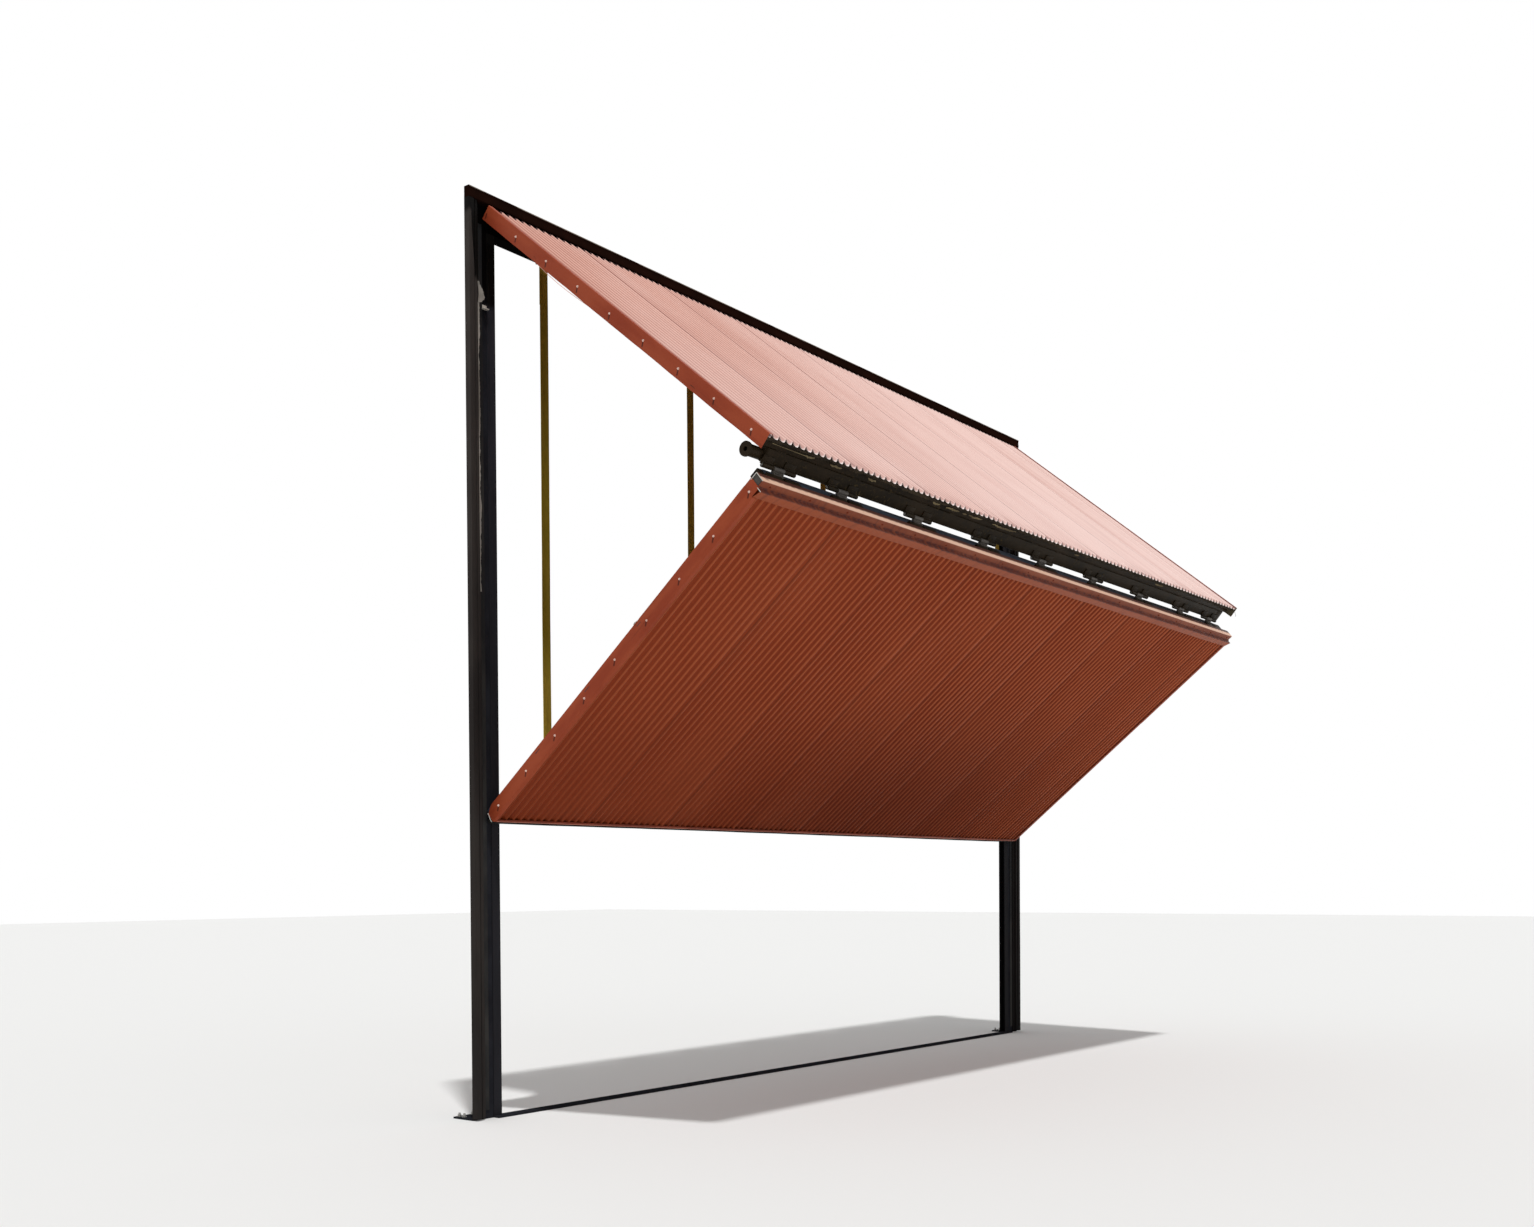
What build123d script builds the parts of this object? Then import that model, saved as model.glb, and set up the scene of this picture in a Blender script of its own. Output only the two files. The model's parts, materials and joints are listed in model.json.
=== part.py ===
from build123d import *
from math import asin, atan2, cos, degrees, hypot, radians, sin
import os

# Bifold hangar door, half open: two hinged leaves hang in front of a steel frame.
# Millimetres. X runs along the wall, Y into the building, Z up from the floor.

# Steel frame
opening_width = 7620.0
overall_height = 6310.0
post_size = 102.0
post_front = 40.0
jamb_cover = 88.0
header_height = 246.0
trim_top_thickness = 4.0
base_plate_reach = 94.0
base_plate_thickness = 12.0
anchor_hole_radius = 9.0
anchor_pitch_x = 120.0
anchor_pitch_y = 50.0
sill_front = 15.0
sill_depth = 100.0

# Header and jamb trims
header_trim_height = 75.0
header_trim_proud = 10.0
jamb_trim_thickness = 3.0
jamb_face_width = 45.0
jamb_groove = 10.0
jamb_bead_width = 22.0
jamb_proud = 8.0
seal_width = 40.0
seal_thickness = 6.0

# Leaves
leaf_lap = 48.0
leaf_length = 3041.0
fold_angle = 50.35
frame_tube = 76.0
fold_beam_depth = 102.0
fold_beam_height = 76.0
fold_beam_end_gap = 158.0
fold_end_gap = 24.0
upper_sheet_lap = 50.0
upper_sheet_rise = 20.0
rib_count = 110
rib_depth = 22.0
rib_crest_share = 0.12
rib_slope_share = 0.2
sheet_thickness = 2.0
girt_width = 51.0
girt_count = 4
stile_width = 51.0
trim_thickness = 2.0
trim_flange = 34.0
closure_thickness = 12.0
closure_drop = 34.0

# Header hinges, fold hinges and their stations along the leaves
pin_depth = 60.0
pin_rise = 20.0
pin_y = -6.0
pin_drop = 149.0
hinge_pitch = 900.0
hinge_edge = 298.0
hinge_lug_width = 105.0
hinge_knuckle_width = 105.0
knuckle_gap = 3.0
fold_barrel_radius = 15.0
fold_pin_radius = 7.5
header_barrel_radius = 12.0
header_pin_radius = 6.0
bore_clearance = 0.5
hinge_plate_thickness = 8.0
hinge_plate_reach = 54.0

# Lower leaf trims and seal
cap_setback = 17.0
cap_height = 54.0
cap_nose = 21.0
cap_flange = 61.0
cap_top_width = 74.0
bottom_lip = 22.0
bottom_seal_drop = 42.0
bottom_seal_front = 10.0
bottom_seal_thickness = 34.0

# Guide rollers and tracks
roller_radius = 25.0
roller_width = 26.0
roller_depth = 133.0
roller_drop = 17.5
axle_radius = 9.0
track_clearance = 2.0
track_wall = 5.0
track_width = 72.0
roller_arm_thickness = 12.0
roller_arm_gap = 8.0

# Lift: straps from the header down to drums on a shaft behind the lower leaf
strap_shares = (-0.8386, -0.4054, 0.0856, 0.5098, 0.9357)
strap_width = 76.0
strap_thickness = 4.0
strap_wrap = 8.0
drum_radius = 44.0
drum_length = 82.0
drum_flange_radius = 66.0
drum_flange_thickness = 6.0
shaft_radius = 22.0
shaft_depth = 172.0
shaft_rise = 106.0
shaft_end_gap = 168.0
bearing_offset = 78.0
bearing_width = 40.0
bearing_back = 34.0
bearing_rise = 38.0
bearing_foot_rise = 80.0
bearing_foot_thickness = 12.0
anchor_drop = 34.0
anchor_pin_radius = 8.0
anchor_ear = 10.0
anchor_side_gap = 6.0
anchor_ear_half = 14.0
anchor_ear_drop = 16.0
anchor_plate_back = 60.0
anchor_pin_proud = 4.0
motor_share = -0.1745
motor_radius = 75.0
motor_length = 330.0
motor_rise = 140.0
fan_length = 40.0
gear_case_width = 150.0
gear_case_back = 78.0
gear_case_drop = 70.0
gear_case_margin = 15.0
motor_fin_room = 3.0
fan_inset = 10.0
overcut = 1.0

half_opening = opening_width / 2
post_outer = half_opening - jamb_cover
post_inner = post_outer - post_size
leaf_half = post_inner + leaf_lap
panel_half = leaf_half - trim_thickness
pin_height = overall_height - pin_drop
outer_hinge = leaf_half - hinge_edge
inner_hinges = int((outer_hinge - 4 * hinge_knuckle_width) / hinge_pitch)
hinge_row = [index * hinge_pitch for index in range(-inner_hinges, inner_hinges + 1)]
hinge_stations = [-outer_hinge] + hinge_row + [outer_hinge]
strap_stations = [share * leaf_half for share in strap_shares]
motor_station = motor_share * leaf_half
frame_back = rib_depth + frame_tube
fold_depth = frame_back + fold_beam_depth
crest_y = pin_y - pin_depth
header_top = overall_height - trim_top_thickness
header_bottom = header_top - header_height

# The header pin, the fold axis and the guide roller form the linkage. The roller keeps
# to one upright line as the leaves fold, and this sets the angle of the lower leaf.
arm = pin_rise + leaf_length
fold_y = pin_y - arm * sin(radians(fold_angle)) + (fold_depth - pin_depth) * cos(radians(fold_angle))
fold_z = pin_height - arm * cos(radians(fold_angle)) - (fold_depth - pin_depth) * sin(radians(fold_angle))
track_y = crest_y + roller_depth
roller_arm = leaf_length + roller_drop
roller_back = fold_depth - roller_depth
lower_angle = degrees(asin((track_y - fold_y) / hypot(roller_arm, roller_back)) + atan2(roller_back, roller_arm))

# Each leaf is drawn hanging straight down from its hinge axis and is then folded.
upper_place = Pos(0, pin_y, pin_height) * Rot(-fold_angle, 0, 0)
lower_place = Pos(0, fold_y, fold_z) * Rot(lower_angle, 0, 0)
upper_front = -pin_depth
lower_front = -fold_depth
upper_top = -pin_rise
sheet_top = upper_top + upper_sheet_rise
upper_split = -arm
lower_bottom = -leaf_length
shaft_z = lower_bottom + shaft_rise
shaft_y = lower_front + shaft_depth
shaft_center = lower_place * Pos(0, shaft_y, shaft_z)
strap_y = shaft_center.position.Y + drum_radius + strap_wrap - strap_thickness / 2


def block(x0, x1, y0, y1, z0, z1):
    size = (abs(x1 - x0), abs(y1 - y0), abs(z1 - z0))
    return Pos((x0 + x1) / 2, (y0 + y1) / 2, (z0 + z1) / 2) * Box(*size)


def rod_x(x0, x1, y, z, radius):
    return Pos((x0 + x1) / 2, y, z) * Rot(0, 90, 0) * Cylinder(radius, abs(x1 - x0))


def profile_x(points, x0, x1):
    """Extrude a closed outline of (y, z) points from x0 to x1."""
    face = make_face(Plane.YZ * Polyline(*points, close=True))
    return Pos(x0, 0, 0) * extrude(face, x1 - x0, dir=(1, 0, 0))


def profile_z(points, z0, z1):
    """Extrude a closed outline of (x, y) points from z0 to z1."""
    face = make_face(Plane.XY * Polyline(*points, close=True))
    return Pos(0, 0, z0) * extrude(face, z1 - z0, dir=(0, 0, 1))


def fused(shapes):
    return shapes[0].fuse(*shapes[1:])


def save(name, shapes):
    parts = shapes if isinstance(shapes, (list, tuple)) else [shapes]
    solids = [solid for part in parts for solid in part.solids()]
    shape = solids[0] if len(solids) == 1 else Compound(children=solids)
    export_step(shape, f"parts/{name}.step")


def save_pair(name, left, prefix=""):
    save(f"{prefix}left_{name}", left)
    save(f"{prefix}right_{name}", mirror(left, Plane.YZ))


def post():
    thick = base_plate_thickness
    back = post_front + post_size
    center_x = -(half_opening + post_inner) / 2
    center_y = back + base_plate_reach / 2
    tube = block(-post_outer, -post_inner, post_front, back, thick, header_top)
    plate = block(-half_opening, -post_inner, post_front, back + base_plate_reach, 0, thick)
    holes = [
        Pos(center_x + sx * anchor_pitch_x / 2, center_y + sy * anchor_pitch_y / 2, thick / 2)
        * Cylinder(anchor_hole_radius, thick * 2)
        for sx in (-1, 1) for sy in (-1, 1)
    ]
    return fused([tube, plate]) - holes


def header_beam():
    return block(-post_inner, post_inner, post_front, post_front + post_size, header_bottom, header_top)


def header_trim():
    low = overall_height - header_trim_height
    t = trim_top_thickness
    front = -header_trim_proud
    points = [(front, low), (front, overall_height), (post_front, overall_height),
              (post_front, overall_height - t), (front + t, overall_height - t), (front + t, low + t),
              (post_front, low + t), (post_front, low)]
    return profile_x(points, -half_opening, half_opening)


def jamb_trim():
    t = jamb_trim_thickness
    x0 = -half_opening
    x1 = x0 + jamb_face_width
    x2 = x1 + jamb_groove
    x3 = x2 + jamb_bead_width
    x4 = -post_outer + 16
    front, bead, deep = -jamb_proud, -2.0, post_front - 18
    points = [
        (x0, post_front), (x0, front), (x1, front), (x1, deep - t), (x2, deep - t), (x2, bead), (x3, bead),
        (x3, deep), (x4, deep), (x4, post_front), (x4 - t, post_front), (x4 - t, deep + t), (x3 - t, deep + t),
        (x3 - t, bead + t), (x2 + t, bead + t), (x2 + t, deep), (x1 - t, deep), (x1 - t, front + t),
        (x0 + t, front + t), (x0 + t, post_front),
    ]
    return profile_z(points, base_plate_thickness, overall_height - header_trim_height)


def jamb_seal():
    x0 = -post_outer + 18
    return block(x0, x0 + seal_width, post_front - seal_thickness, post_front, 60, pin_height - 60)


def guide_track():
    gap = roller_radius + track_clearance
    near, far = track_y - gap, track_y + gap
    low = base_plate_thickness
    shell = block(-post_inner, -post_inner + track_width, near - track_wall, far + track_wall, low, header_bottom)
    slot = block(-post_inner + track_wall, -post_inner + track_width + 1, near, far, low - 1, header_bottom + 1)
    return shell - slot


def sill():
    return block(-post_inner, post_inner, -sill_front, sill_depth - sill_front, 0, base_plate_thickness)


def knuckle_spans():
    middle = hinge_lug_width / 2
    start = middle + knuckle_gap
    end = start + hinge_knuckle_width
    return [(-end, -start), (start, end)], [(-middle, middle)]


def at_stations(shapes):
    items = shapes if isinstance(shapes, list) else [shapes]
    return [Pos(x, 0, 0) * item for x in hinge_stations for item in items]


def header_hinge():
    outer, _ = knuckle_spans()
    half = outer[1][1]
    bore = header_pin_radius + bore_clearance
    wall = post_front - pin_y
    plate = block(-half, half, wall - hinge_plate_thickness, wall, -24, 24)
    webs = [block(x0, x1, 0, wall - hinge_plate_thickness, -8, 8) for x0, x1 in outer]
    barrels = [rod_x(x0, x1, 0, 0, header_barrel_radius) for x0, x1 in outer]
    return fused([plate] + webs + barrels) - rod_x(-half - 1, half + 1, 0, 0, bore)


def leaf_hinge():
    _, middle = knuckle_spans()
    x0, x1 = middle[0]
    bore = header_pin_radius + bore_clearance
    web = block(x0, x1, -10, 10, upper_top, 0)
    foot = block(x0, x1, -32, 32, upper_top, upper_top + 6)
    return fused([web, foot, rod_x(x0, x1, 0, 0, header_barrel_radius)]) - rod_x(x0 - 1, x1 + 1, 0, 0, bore)


def fold_knuckle(spans, gap, side):
    """Hinge half on a fold beam: side is +1 for the beam above the axis, -1 below."""
    bore = fold_pin_radius + bore_clearance
    halves = []
    for x0, x1 in spans:
        plate = block(x0, x1, -hinge_plate_reach, 0, side * gap, side * (gap - hinge_plate_thickness))
        web = block(x0, x1, -22, 0, 0, side * gap)
        barrel = rod_x(x0, x1, 0, 0, fold_barrel_radius)
        halves.append(fused([plate, web, barrel]) - rod_x(x0 - 1, x1 + 1, 0, 0, bore))
    return halves


def pins(radius):
    outer, _ = knuckle_spans()
    reach = outer[1][1] + 6
    return at_stations(rod_x(-reach, reach, 0, 0, radius))


def corrugated_sheet(front, low, high):
    pitch = 2 * panel_half / rib_count
    crest = rib_crest_share * pitch
    slope = rib_slope_share * pitch
    depth = rib_depth - sheet_thickness
    outer = []
    for index in range(rib_count):
        x = -panel_half + index * pitch
        outer += [(x, 0), (x + crest, 0), (x + crest + slope, depth), (x + pitch - slope, depth)]
    outer.append((panel_half, 0))
    inner = [(x, y + sheet_thickness) for x, y in reversed(outer)]
    return Pos(0, front, 0) * profile_z(outer + inner, low, high)


def lattice(front, low, high):
    """Welded leaf frame: a tube round the edge, stiles and girts, fused where they cross."""
    near = front + rib_depth
    far = near + frame_tube
    rails = [
        block(-panel_half, panel_half, near, far, low, low + frame_tube),
        block(-panel_half, panel_half, near, far, high - frame_tube, high),
    ]
    step = (high - low - frame_tube) / (girt_count + 1)
    for index in range(1, girt_count + 1):
        z = low + frame_tube / 2 + step * index
        rails.append(block(-panel_half, panel_half, near, near + stile_width, z - girt_width / 2, z + girt_width / 2))
    edge = panel_half - stile_width / 2
    for x in [-edge] + hinge_stations + [edge]:
        rails.append(block(x - stile_width / 2, x + stile_width / 2, near, far, low, high))
    return fused(rails)


def side_trim(front, low, high):
    face = block(-leaf_half, -panel_half, front - trim_thickness, front + frame_back, low, high)
    flange = block(-leaf_half, -leaf_half + trim_flange, front - trim_thickness, front, low, high)
    return fused([face, flange])


def fold_beam(front, low):
    near = front + frame_back
    half = leaf_half - fold_beam_end_gap
    return block(-half, half, near, near + fold_beam_depth, low, low + fold_beam_height)


def save_upper_leaf():
    low = upper_split + fold_end_gap
    place = upper_place
    save("upper_frame", place * lattice(upper_front, low, upper_top))
    save("upper_fold_beam", place * fold_beam(upper_front, low))
    save("upper_sheet", place * corrugated_sheet(upper_front, upper_split - upper_sheet_lap, sheet_top))
    save_pair("trim", place * side_trim(upper_front, upper_split - upper_sheet_lap, sheet_top), "upper_")
    near = upper_front + rib_depth
    strip = block(-panel_half, panel_half, near, near + closure_thickness, upper_split - closure_drop, low)
    save("upper_closure_strip", place * strip)
    save("leaf_hinges", [place * hinge for hinge in at_stations(leaf_hinge())])


def cap_trim():
    t = trim_thickness
    front = lower_front
    step = -cap_height
    end = step - cap_flange
    back = front + cap_setback + cap_top_width
    web = front + cap_setback
    points = [
        (front - t, end), (front - cap_nose, step), (web, step + t), (web, 0), (back, 0), (back, -t),
        (web + t, -t), (web + t, step), (front - cap_nose + 2 * t, step - t), (front, end),
    ]
    return profile_x(points, -leaf_half, leaf_half)


def bottom_trim():
    t = trim_thickness
    near = lower_front - t
    far = lower_front + frame_back - 8
    low = lower_bottom
    points = [(near, low + bottom_lip), (near, low - t), (far, low - t), (far, low), (near + t, low),
              (near + t, low + bottom_lip)]
    half = leaf_half - trim_flange
    return profile_x(points, -half, half)


def bottom_seal():
    near = lower_front + bottom_seal_front
    high = lower_bottom - trim_thickness
    return block(-panel_half, panel_half, near, near + bottom_seal_thickness, high - bottom_seal_drop, high)


def save_lower_leaf():
    place = lower_place
    high = -trim_thickness
    save("lower_frame", place * lattice(lower_front, lower_bottom, high))
    save("lower_fold_beam", place * fold_beam(lower_front, -fold_end_gap - fold_beam_height))
    save("lower_sheet", place * corrugated_sheet(lower_front, lower_bottom, -cap_height - trim_thickness - 2))
    save_pair("trim", place * side_trim(lower_front, lower_bottom, -cap_height - cap_flange), "lower_")
    save("lower_cap_trim", place * cap_trim())
    save("lower_bottom_trim", place * bottom_trim())
    save("bottom_seal", place * bottom_seal())


def save_hinges():
    outer, middle = knuckle_spans()
    plates = fold_knuckle(outer, fold_end_gap, 1)
    lugs = fold_knuckle(middle, fold_end_gap, -1)
    fold_axis_upper = upper_place * Pos(0, fold_depth - pin_depth, -arm)
    save("header_hinges", [Pos(0, pin_y, pin_height) * hinge for hinge in at_stations(header_hinge())])
    save("header_hinge_pins", [Pos(0, pin_y, pin_height) * pin for pin in pins(header_pin_radius)])
    save("upper_fold_hinges", [fold_axis_upper * hinge for hinge in at_stations(plates)])
    save("lower_fold_hinges", [lower_place * hinge for hinge in at_stations(lugs)])
    save("fold_hinge_pins", [lower_place * pin for pin in pins(fold_pin_radius)])


def save_rollers():
    y = lower_front + roller_depth
    z = lower_bottom - roller_drop
    inner = -post_inner + track_width + roller_arm_gap
    middle = -post_inner + track_wall + track_clearance + roller_width / 2
    wheel = rod_x(middle - roller_width / 2, middle + roller_width / 2, y, z, roller_radius)
    wheel = wheel - rod_x(middle - roller_width, middle + roller_width, y, z, axle_radius + bore_clearance)
    plate = block(inner, inner + roller_arm_thickness, lower_front + frame_back, y + 16, z - 16, lower_bottom + 90)
    foot = block(inner, inner + 60, lower_front + frame_back, lower_front + frame_back + 8,
                 lower_bottom + 10, lower_bottom + 90)
    axle = rod_x(middle - roller_width / 2, inner, y, z, axle_radius)
    save_pair("guide_roller", lower_place * wheel)
    save_pair("roller_arm", lower_place * fused([plate, foot, axle]))


def drum():
    barrel = rod_x(-drum_length / 2, drum_length / 2, 0, 0, drum_radius)
    ends = []
    for side in (-1, 1):
        x = side * drum_length / 2
        ends.append(rod_x(x, x + side * drum_flange_thickness, 0, 0, drum_flange_radius))
    return fused([barrel] + ends) - rod_x(-drum_length, drum_length, 0, 0, shaft_radius + bore_clearance)


def bearing():
    half = bearing_width / 2
    wall = lower_front + frame_back - shaft_y
    body = block(-half, half, wall, bearing_back, -bearing_rise, bearing_rise)
    foot = block(-half, half, wall, wall + bearing_foot_thickness, -bearing_foot_rise, bearing_foot_rise)
    return fused([body, foot]) - rod_x(-half - overcut, half + overcut, 0, 0, shaft_radius + bore_clearance)


def gear_motor():
    wall = lower_front + frame_back - shaft_y
    half = gear_case_width / 2
    high = motor_rise + motor_radius + gear_case_margin
    motor_end = half + motor_length
    case = block(-half, half, wall, gear_case_back, -gear_case_drop, high)
    motor = rod_x(half, motor_end, 0, motor_rise, motor_radius - motor_fin_room)
    fan = rod_x(motor_end, motor_end + fan_length, 0, motor_rise, motor_radius - fan_inset)
    bore = rod_x(-half - overcut, half + overcut, 0, 0, shaft_radius + bore_clearance)
    return fused([case, motor, fan]) - bore


def save_drive():
    shaft = shaft_center
    bearings = [Pos(x - bearing_offset, 0, 0) * bearing() for x in strap_stations]
    bearings.append(Pos(motor_station + gear_case_width + motor_length, 0, 0) * bearing())
    half = leaf_half - shaft_end_gap
    save("drive_shaft", shaft * rod_x(-half, half, 0, 0, shaft_radius))
    save("strap_drums", [shaft * Pos(x, 0, 0) * drum() for x in strap_stations])
    save("shaft_bearings", [shaft * item for item in bearings])
    save("gear_motor", shaft * Pos(motor_station, 0, 0) * gear_motor())


def anchor(y, z):
    half = strap_width / 2 + anchor_side_gap
    top = header_bottom - hinge_plate_thickness
    outer = half + anchor_ear
    near, far = y - anchor_ear_half, y + anchor_ear_half
    plate = block(-outer, outer, near, y + anchor_plate_back, top, header_bottom)
    ears = [block(side * half, side * outer, near, far, z - anchor_ear_drop, top) for side in (-1, 1)]
    pin = rod_x(-outer - anchor_pin_proud, outer + anchor_pin_proud, y, z, anchor_pin_radius)
    return fused([plate, pin] + ears)


def strap(anchor_y, anchor_z):
    half = strap_width / 2
    center = shaft_center.position
    inner = anchor_pin_radius + bore_clearance
    outer = inner + strap_thickness
    near = strap_y - strap_thickness / 2
    far = strap_y + strap_thickness / 2
    band = block(-half, half, near, far, center.Z, anchor_z)
    loop = rod_x(-half, half, anchor_y, anchor_z, outer)
    coil = rod_x(-half, half, center.Y, center.Z, drum_radius + strap_wrap)
    hole = rod_x(-half - overcut, half + overcut, anchor_y, anchor_z, inner)
    core = rod_x(-half - overcut, half + overcut, center.Y, center.Z, drum_radius + bore_clearance / 2)
    return fused([band, loop, coil]) - [hole, core]


def save_straps():
    loop_radius = anchor_pin_radius + bore_clearance + strap_thickness
    y = strap_y - strap_thickness / 2 + loop_radius
    z = header_bottom - anchor_drop
    save("strap_anchors", [Pos(x, 0, 0) * anchor(y, z) for x in strap_stations])
    for number, x in enumerate(strap_stations, 1):
        save(f"lift_strap_{number}", Pos(x, 0, 0) * strap(y, z))


os.makedirs("parts", exist_ok=True)
save_pair("post", post())
save("header_beam", header_beam())
save("header_trim", header_trim())
save_pair("jamb_trim", jamb_trim())
save_pair("jamb_seal", jamb_seal())
save_pair("guide_track", guide_track())
save("sill", sill())
save_upper_leaf()
save_lower_leaf()
save_hinges()
save_rollers()
save_drive()
save_straps()
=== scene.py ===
import bmesh
import bpy
import json
import math
import random
import numpy as np
from mathutils import Matrix, Vector


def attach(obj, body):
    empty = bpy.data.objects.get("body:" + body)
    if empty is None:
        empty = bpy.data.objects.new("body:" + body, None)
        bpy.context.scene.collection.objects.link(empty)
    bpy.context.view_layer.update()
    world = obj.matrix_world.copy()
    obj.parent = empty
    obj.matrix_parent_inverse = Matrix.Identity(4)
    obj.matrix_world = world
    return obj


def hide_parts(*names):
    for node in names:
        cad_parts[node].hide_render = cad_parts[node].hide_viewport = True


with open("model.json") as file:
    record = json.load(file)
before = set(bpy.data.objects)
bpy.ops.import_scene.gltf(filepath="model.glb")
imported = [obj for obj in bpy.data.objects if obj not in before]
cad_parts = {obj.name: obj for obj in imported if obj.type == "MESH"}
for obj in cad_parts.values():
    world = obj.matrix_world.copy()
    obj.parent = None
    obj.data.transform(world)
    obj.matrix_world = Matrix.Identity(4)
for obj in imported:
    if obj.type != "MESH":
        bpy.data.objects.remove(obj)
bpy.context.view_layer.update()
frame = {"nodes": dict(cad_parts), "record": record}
nodes = frame["nodes"]
rng = random.Random(7)

# The two leaves hang from their axes as in the part: local y is depth, local z points up the leaf.
linkage = {"foldAngle": math.radians(50.35), "pinY": -0.006, "pinZ": 6.161, "leafLength": 3.041,
           "pinRise": 0.020, "foldDepth": 0.200, "pinDepth": 0.060,
           "rollerDrop": 0.0175, "rollerDepth": 0.133}
leafHalf, panelHalf = 3.668, 3.666
leafLength = linkage["leafLength"]
arm = leafLength + linkage["pinRise"]
upperFront, lowerFront = -linkage["pinDepth"], -linkage["foldDepth"]
split = -arm
tubeDepth, backSteel = 0.022, 0.098  # from the rib crests to the front and the back of the leaf's tubes
claddingEnd = split - 0.050  # the upper sheet and trims run on past the fold
beamFoot = {"upper": split + 0.024, "lower": -0.100}  # undersides of the two fold beams
stations = [-3.37, -2.7, -1.8, -0.9, 0.0, 0.9, 1.8, 2.7, 3.37]
strapStations = [share * leafHalf for share in (-0.8386, -0.4054, 0.0856, 0.5098, 0.9357)]


def leafPlaces():
    k = linkage
    a, pinToFold = k["foldAngle"], k["foldDepth"] - k["pinDepth"]
    y = k["pinY"] - arm * math.sin(a) + pinToFold * math.cos(a)
    z = k["pinZ"] - arm * math.cos(a) - pinToFold * math.sin(a)
    reach, back = leafLength + k["rollerDrop"], k["foldDepth"] - k["rollerDepth"]
    lean = math.asin((k["pinY"] - k["pinDepth"] + k["rollerDepth"] - y) / math.hypot(reach, back))
    b = lean + math.atan2(back, reach)
    top = Matrix.Translation((0, k["pinY"], k["pinZ"])) @ Matrix.Rotation(-a, 4, "X")
    return top, Matrix.Translation((0, y, z)) @ Matrix.Rotation(b, 4, "X")


upper, lower = leafPlaces()


def plug(slot, value):  # a link from a wire, or a plain value
    if isinstance(value, Wire):
        value.tree.links.new(value.socket, slot)
    else:
        slot.default_value = value


def addNode(tree, kind, settings, sockets):  # a shader node: its settings first, then its values or links
    node = tree.nodes.new(kind)
    for name, value in settings.items():
        setattr(node, name, value)
    for name, value in sockets.items():
        plug(node.inputs[name], value)
    return node


class Wire:  # a shader socket that can be used in sums, so a material reads as arithmetic
    def __init__(self, tree, socket):
        self.tree = tree
        self.socket = socket

    def math(self, kind, *others, clamp=False):
        settings = {"operation": kind, "use_clamp": clamp}
        node = addNode(self.tree, "ShaderNodeMath", settings, dict(enumerate((self, *others))))
        return Wire(self.tree, node.outputs[0])

    def __add__(self, other):
        return self.math("ADD", other)

    def __sub__(self, other):
        return self.math("SUBTRACT", other)

    def __rsub__(self, other):
        return (self * -1) + other

    def __mul__(self, other):
        return self.math("MULTIPLY", other)

    def __truediv__(self, other):
        return self.math("DIVIDE", other)

    __radd__ = __add__
    __rmul__ = __mul__

    def fract(self):
        return self.math("FRACT")

    def absolute(self):
        return self.math("ABSOLUTE")

    def band(self, low, high):  # rises from 0 at low to 1 at high
        node = addNode(self.tree, "ShaderNodeMapRange", {"interpolation_type": "SMOOTHSTEP"},
                       {"Value": self, "From Min": low, "From Max": high})
        return Wire(self.tree, node.outputs[0])

    def line(self, middle, half, soft):  # 1 within half of middle, falling off over soft
        return 1.0 - (self - middle).absolute().band(half, half + soft)

    def repeat(self, pitch):  # distance from the nearest whole pitch
        return ((self / pitch + 0.5).fract() - 0.5) * pitch


paints = {}


class Paint:  # one procedural material: colours and bump are built from object coordinates
    def __init__(self, name, metallic=0.0, leaf=None, gloss=0.15):
        self.name = name
        self.material = bpy.data.materials.new(name)
        self.material.use_nodes = True
        self.tree = self.material.node_tree
        self.slots = self.tree.nodes["Principled BSDF"].inputs
        plug(self.slots["Metallic"], metallic)
        plug(self.slots["Specular IOR Level"], gloss)
        self.place = self.wire("ShaderNodeTexCoord", {}, {}, "Object")
        if leaf is not None:  # measured in the leaf's own frame
            turn = {"Vector": self.place, "Location": leaf.to_translation(), "Rotation": leaf.to_euler()}
            self.place = self.wire("ShaderNodeMapping", {"vector_type": "TEXTURE"}, turn)
        self.x, self.y, self.z = self.parts(self.place)

    def wire(self, kind, settings, sockets, output=0):
        return Wire(self.tree, addNode(self.tree, kind, settings, sockets).outputs[output])

    def parts(self, vector):
        node = addNode(self.tree, "ShaderNodeSeparateXYZ", {}, {"Vector": vector})
        return [Wire(self.tree, out) for out in node.outputs]

    def stretched(self, scale):
        return self.wire("ShaderNodeVectorMath", {"operation": "MULTIPLY"}, {0: self.place, 1: scale})

    def noise(self, scale, detail=5, rough=0.55):
        sockets = {"Vector": self.stretched(scale), "Scale": 1.0, "Detail": detail, "Roughness": rough}
        return self.wire("ShaderNodeTexNoise", {}, sockets, "Fac")

    def cells(self, scale):
        sockets = {"Vector": self.stretched(scale), "Scale": 1.0}
        return self.wire("ShaderNodeTexVoronoi", {}, sockets, "Distance")

    def mix(self, factor, low, high):  # colours are screen values from 0 to 255
        low, high = [color if isinstance(color, Wire) else (*linear(color), 1.0) for color in (low, high)]
        return self.wire("ShaderNodeMix", {"data_type": "RGBA"}, {0: factor, 6: low, 7: high}, 2)

    def facing(self):  # how far the face looks along X
        return self.parts(self.wire("ShaderNodeNewGeometry", {}, {}, "True Normal"))[0]

    def finish(self, color, roughness, bump, distance, strength):
        heights = {"Strength": strength, "Distance": distance, "Height": bump}
        plug(self.slots["Base Color"], color)
        plug(self.slots["Roughness"], roughness)
        plug(self.slots["Normal"], self.wire("ShaderNodeBump", {}, heights))
        paints[self.name] = self.material


def linear(color):  # linear light from screen values
    return [c / 255 / 12.92 if c / 255 <= 0.04045 else ((c / 255 + 0.055) / 1.055) ** 2.4 for c in color]


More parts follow.
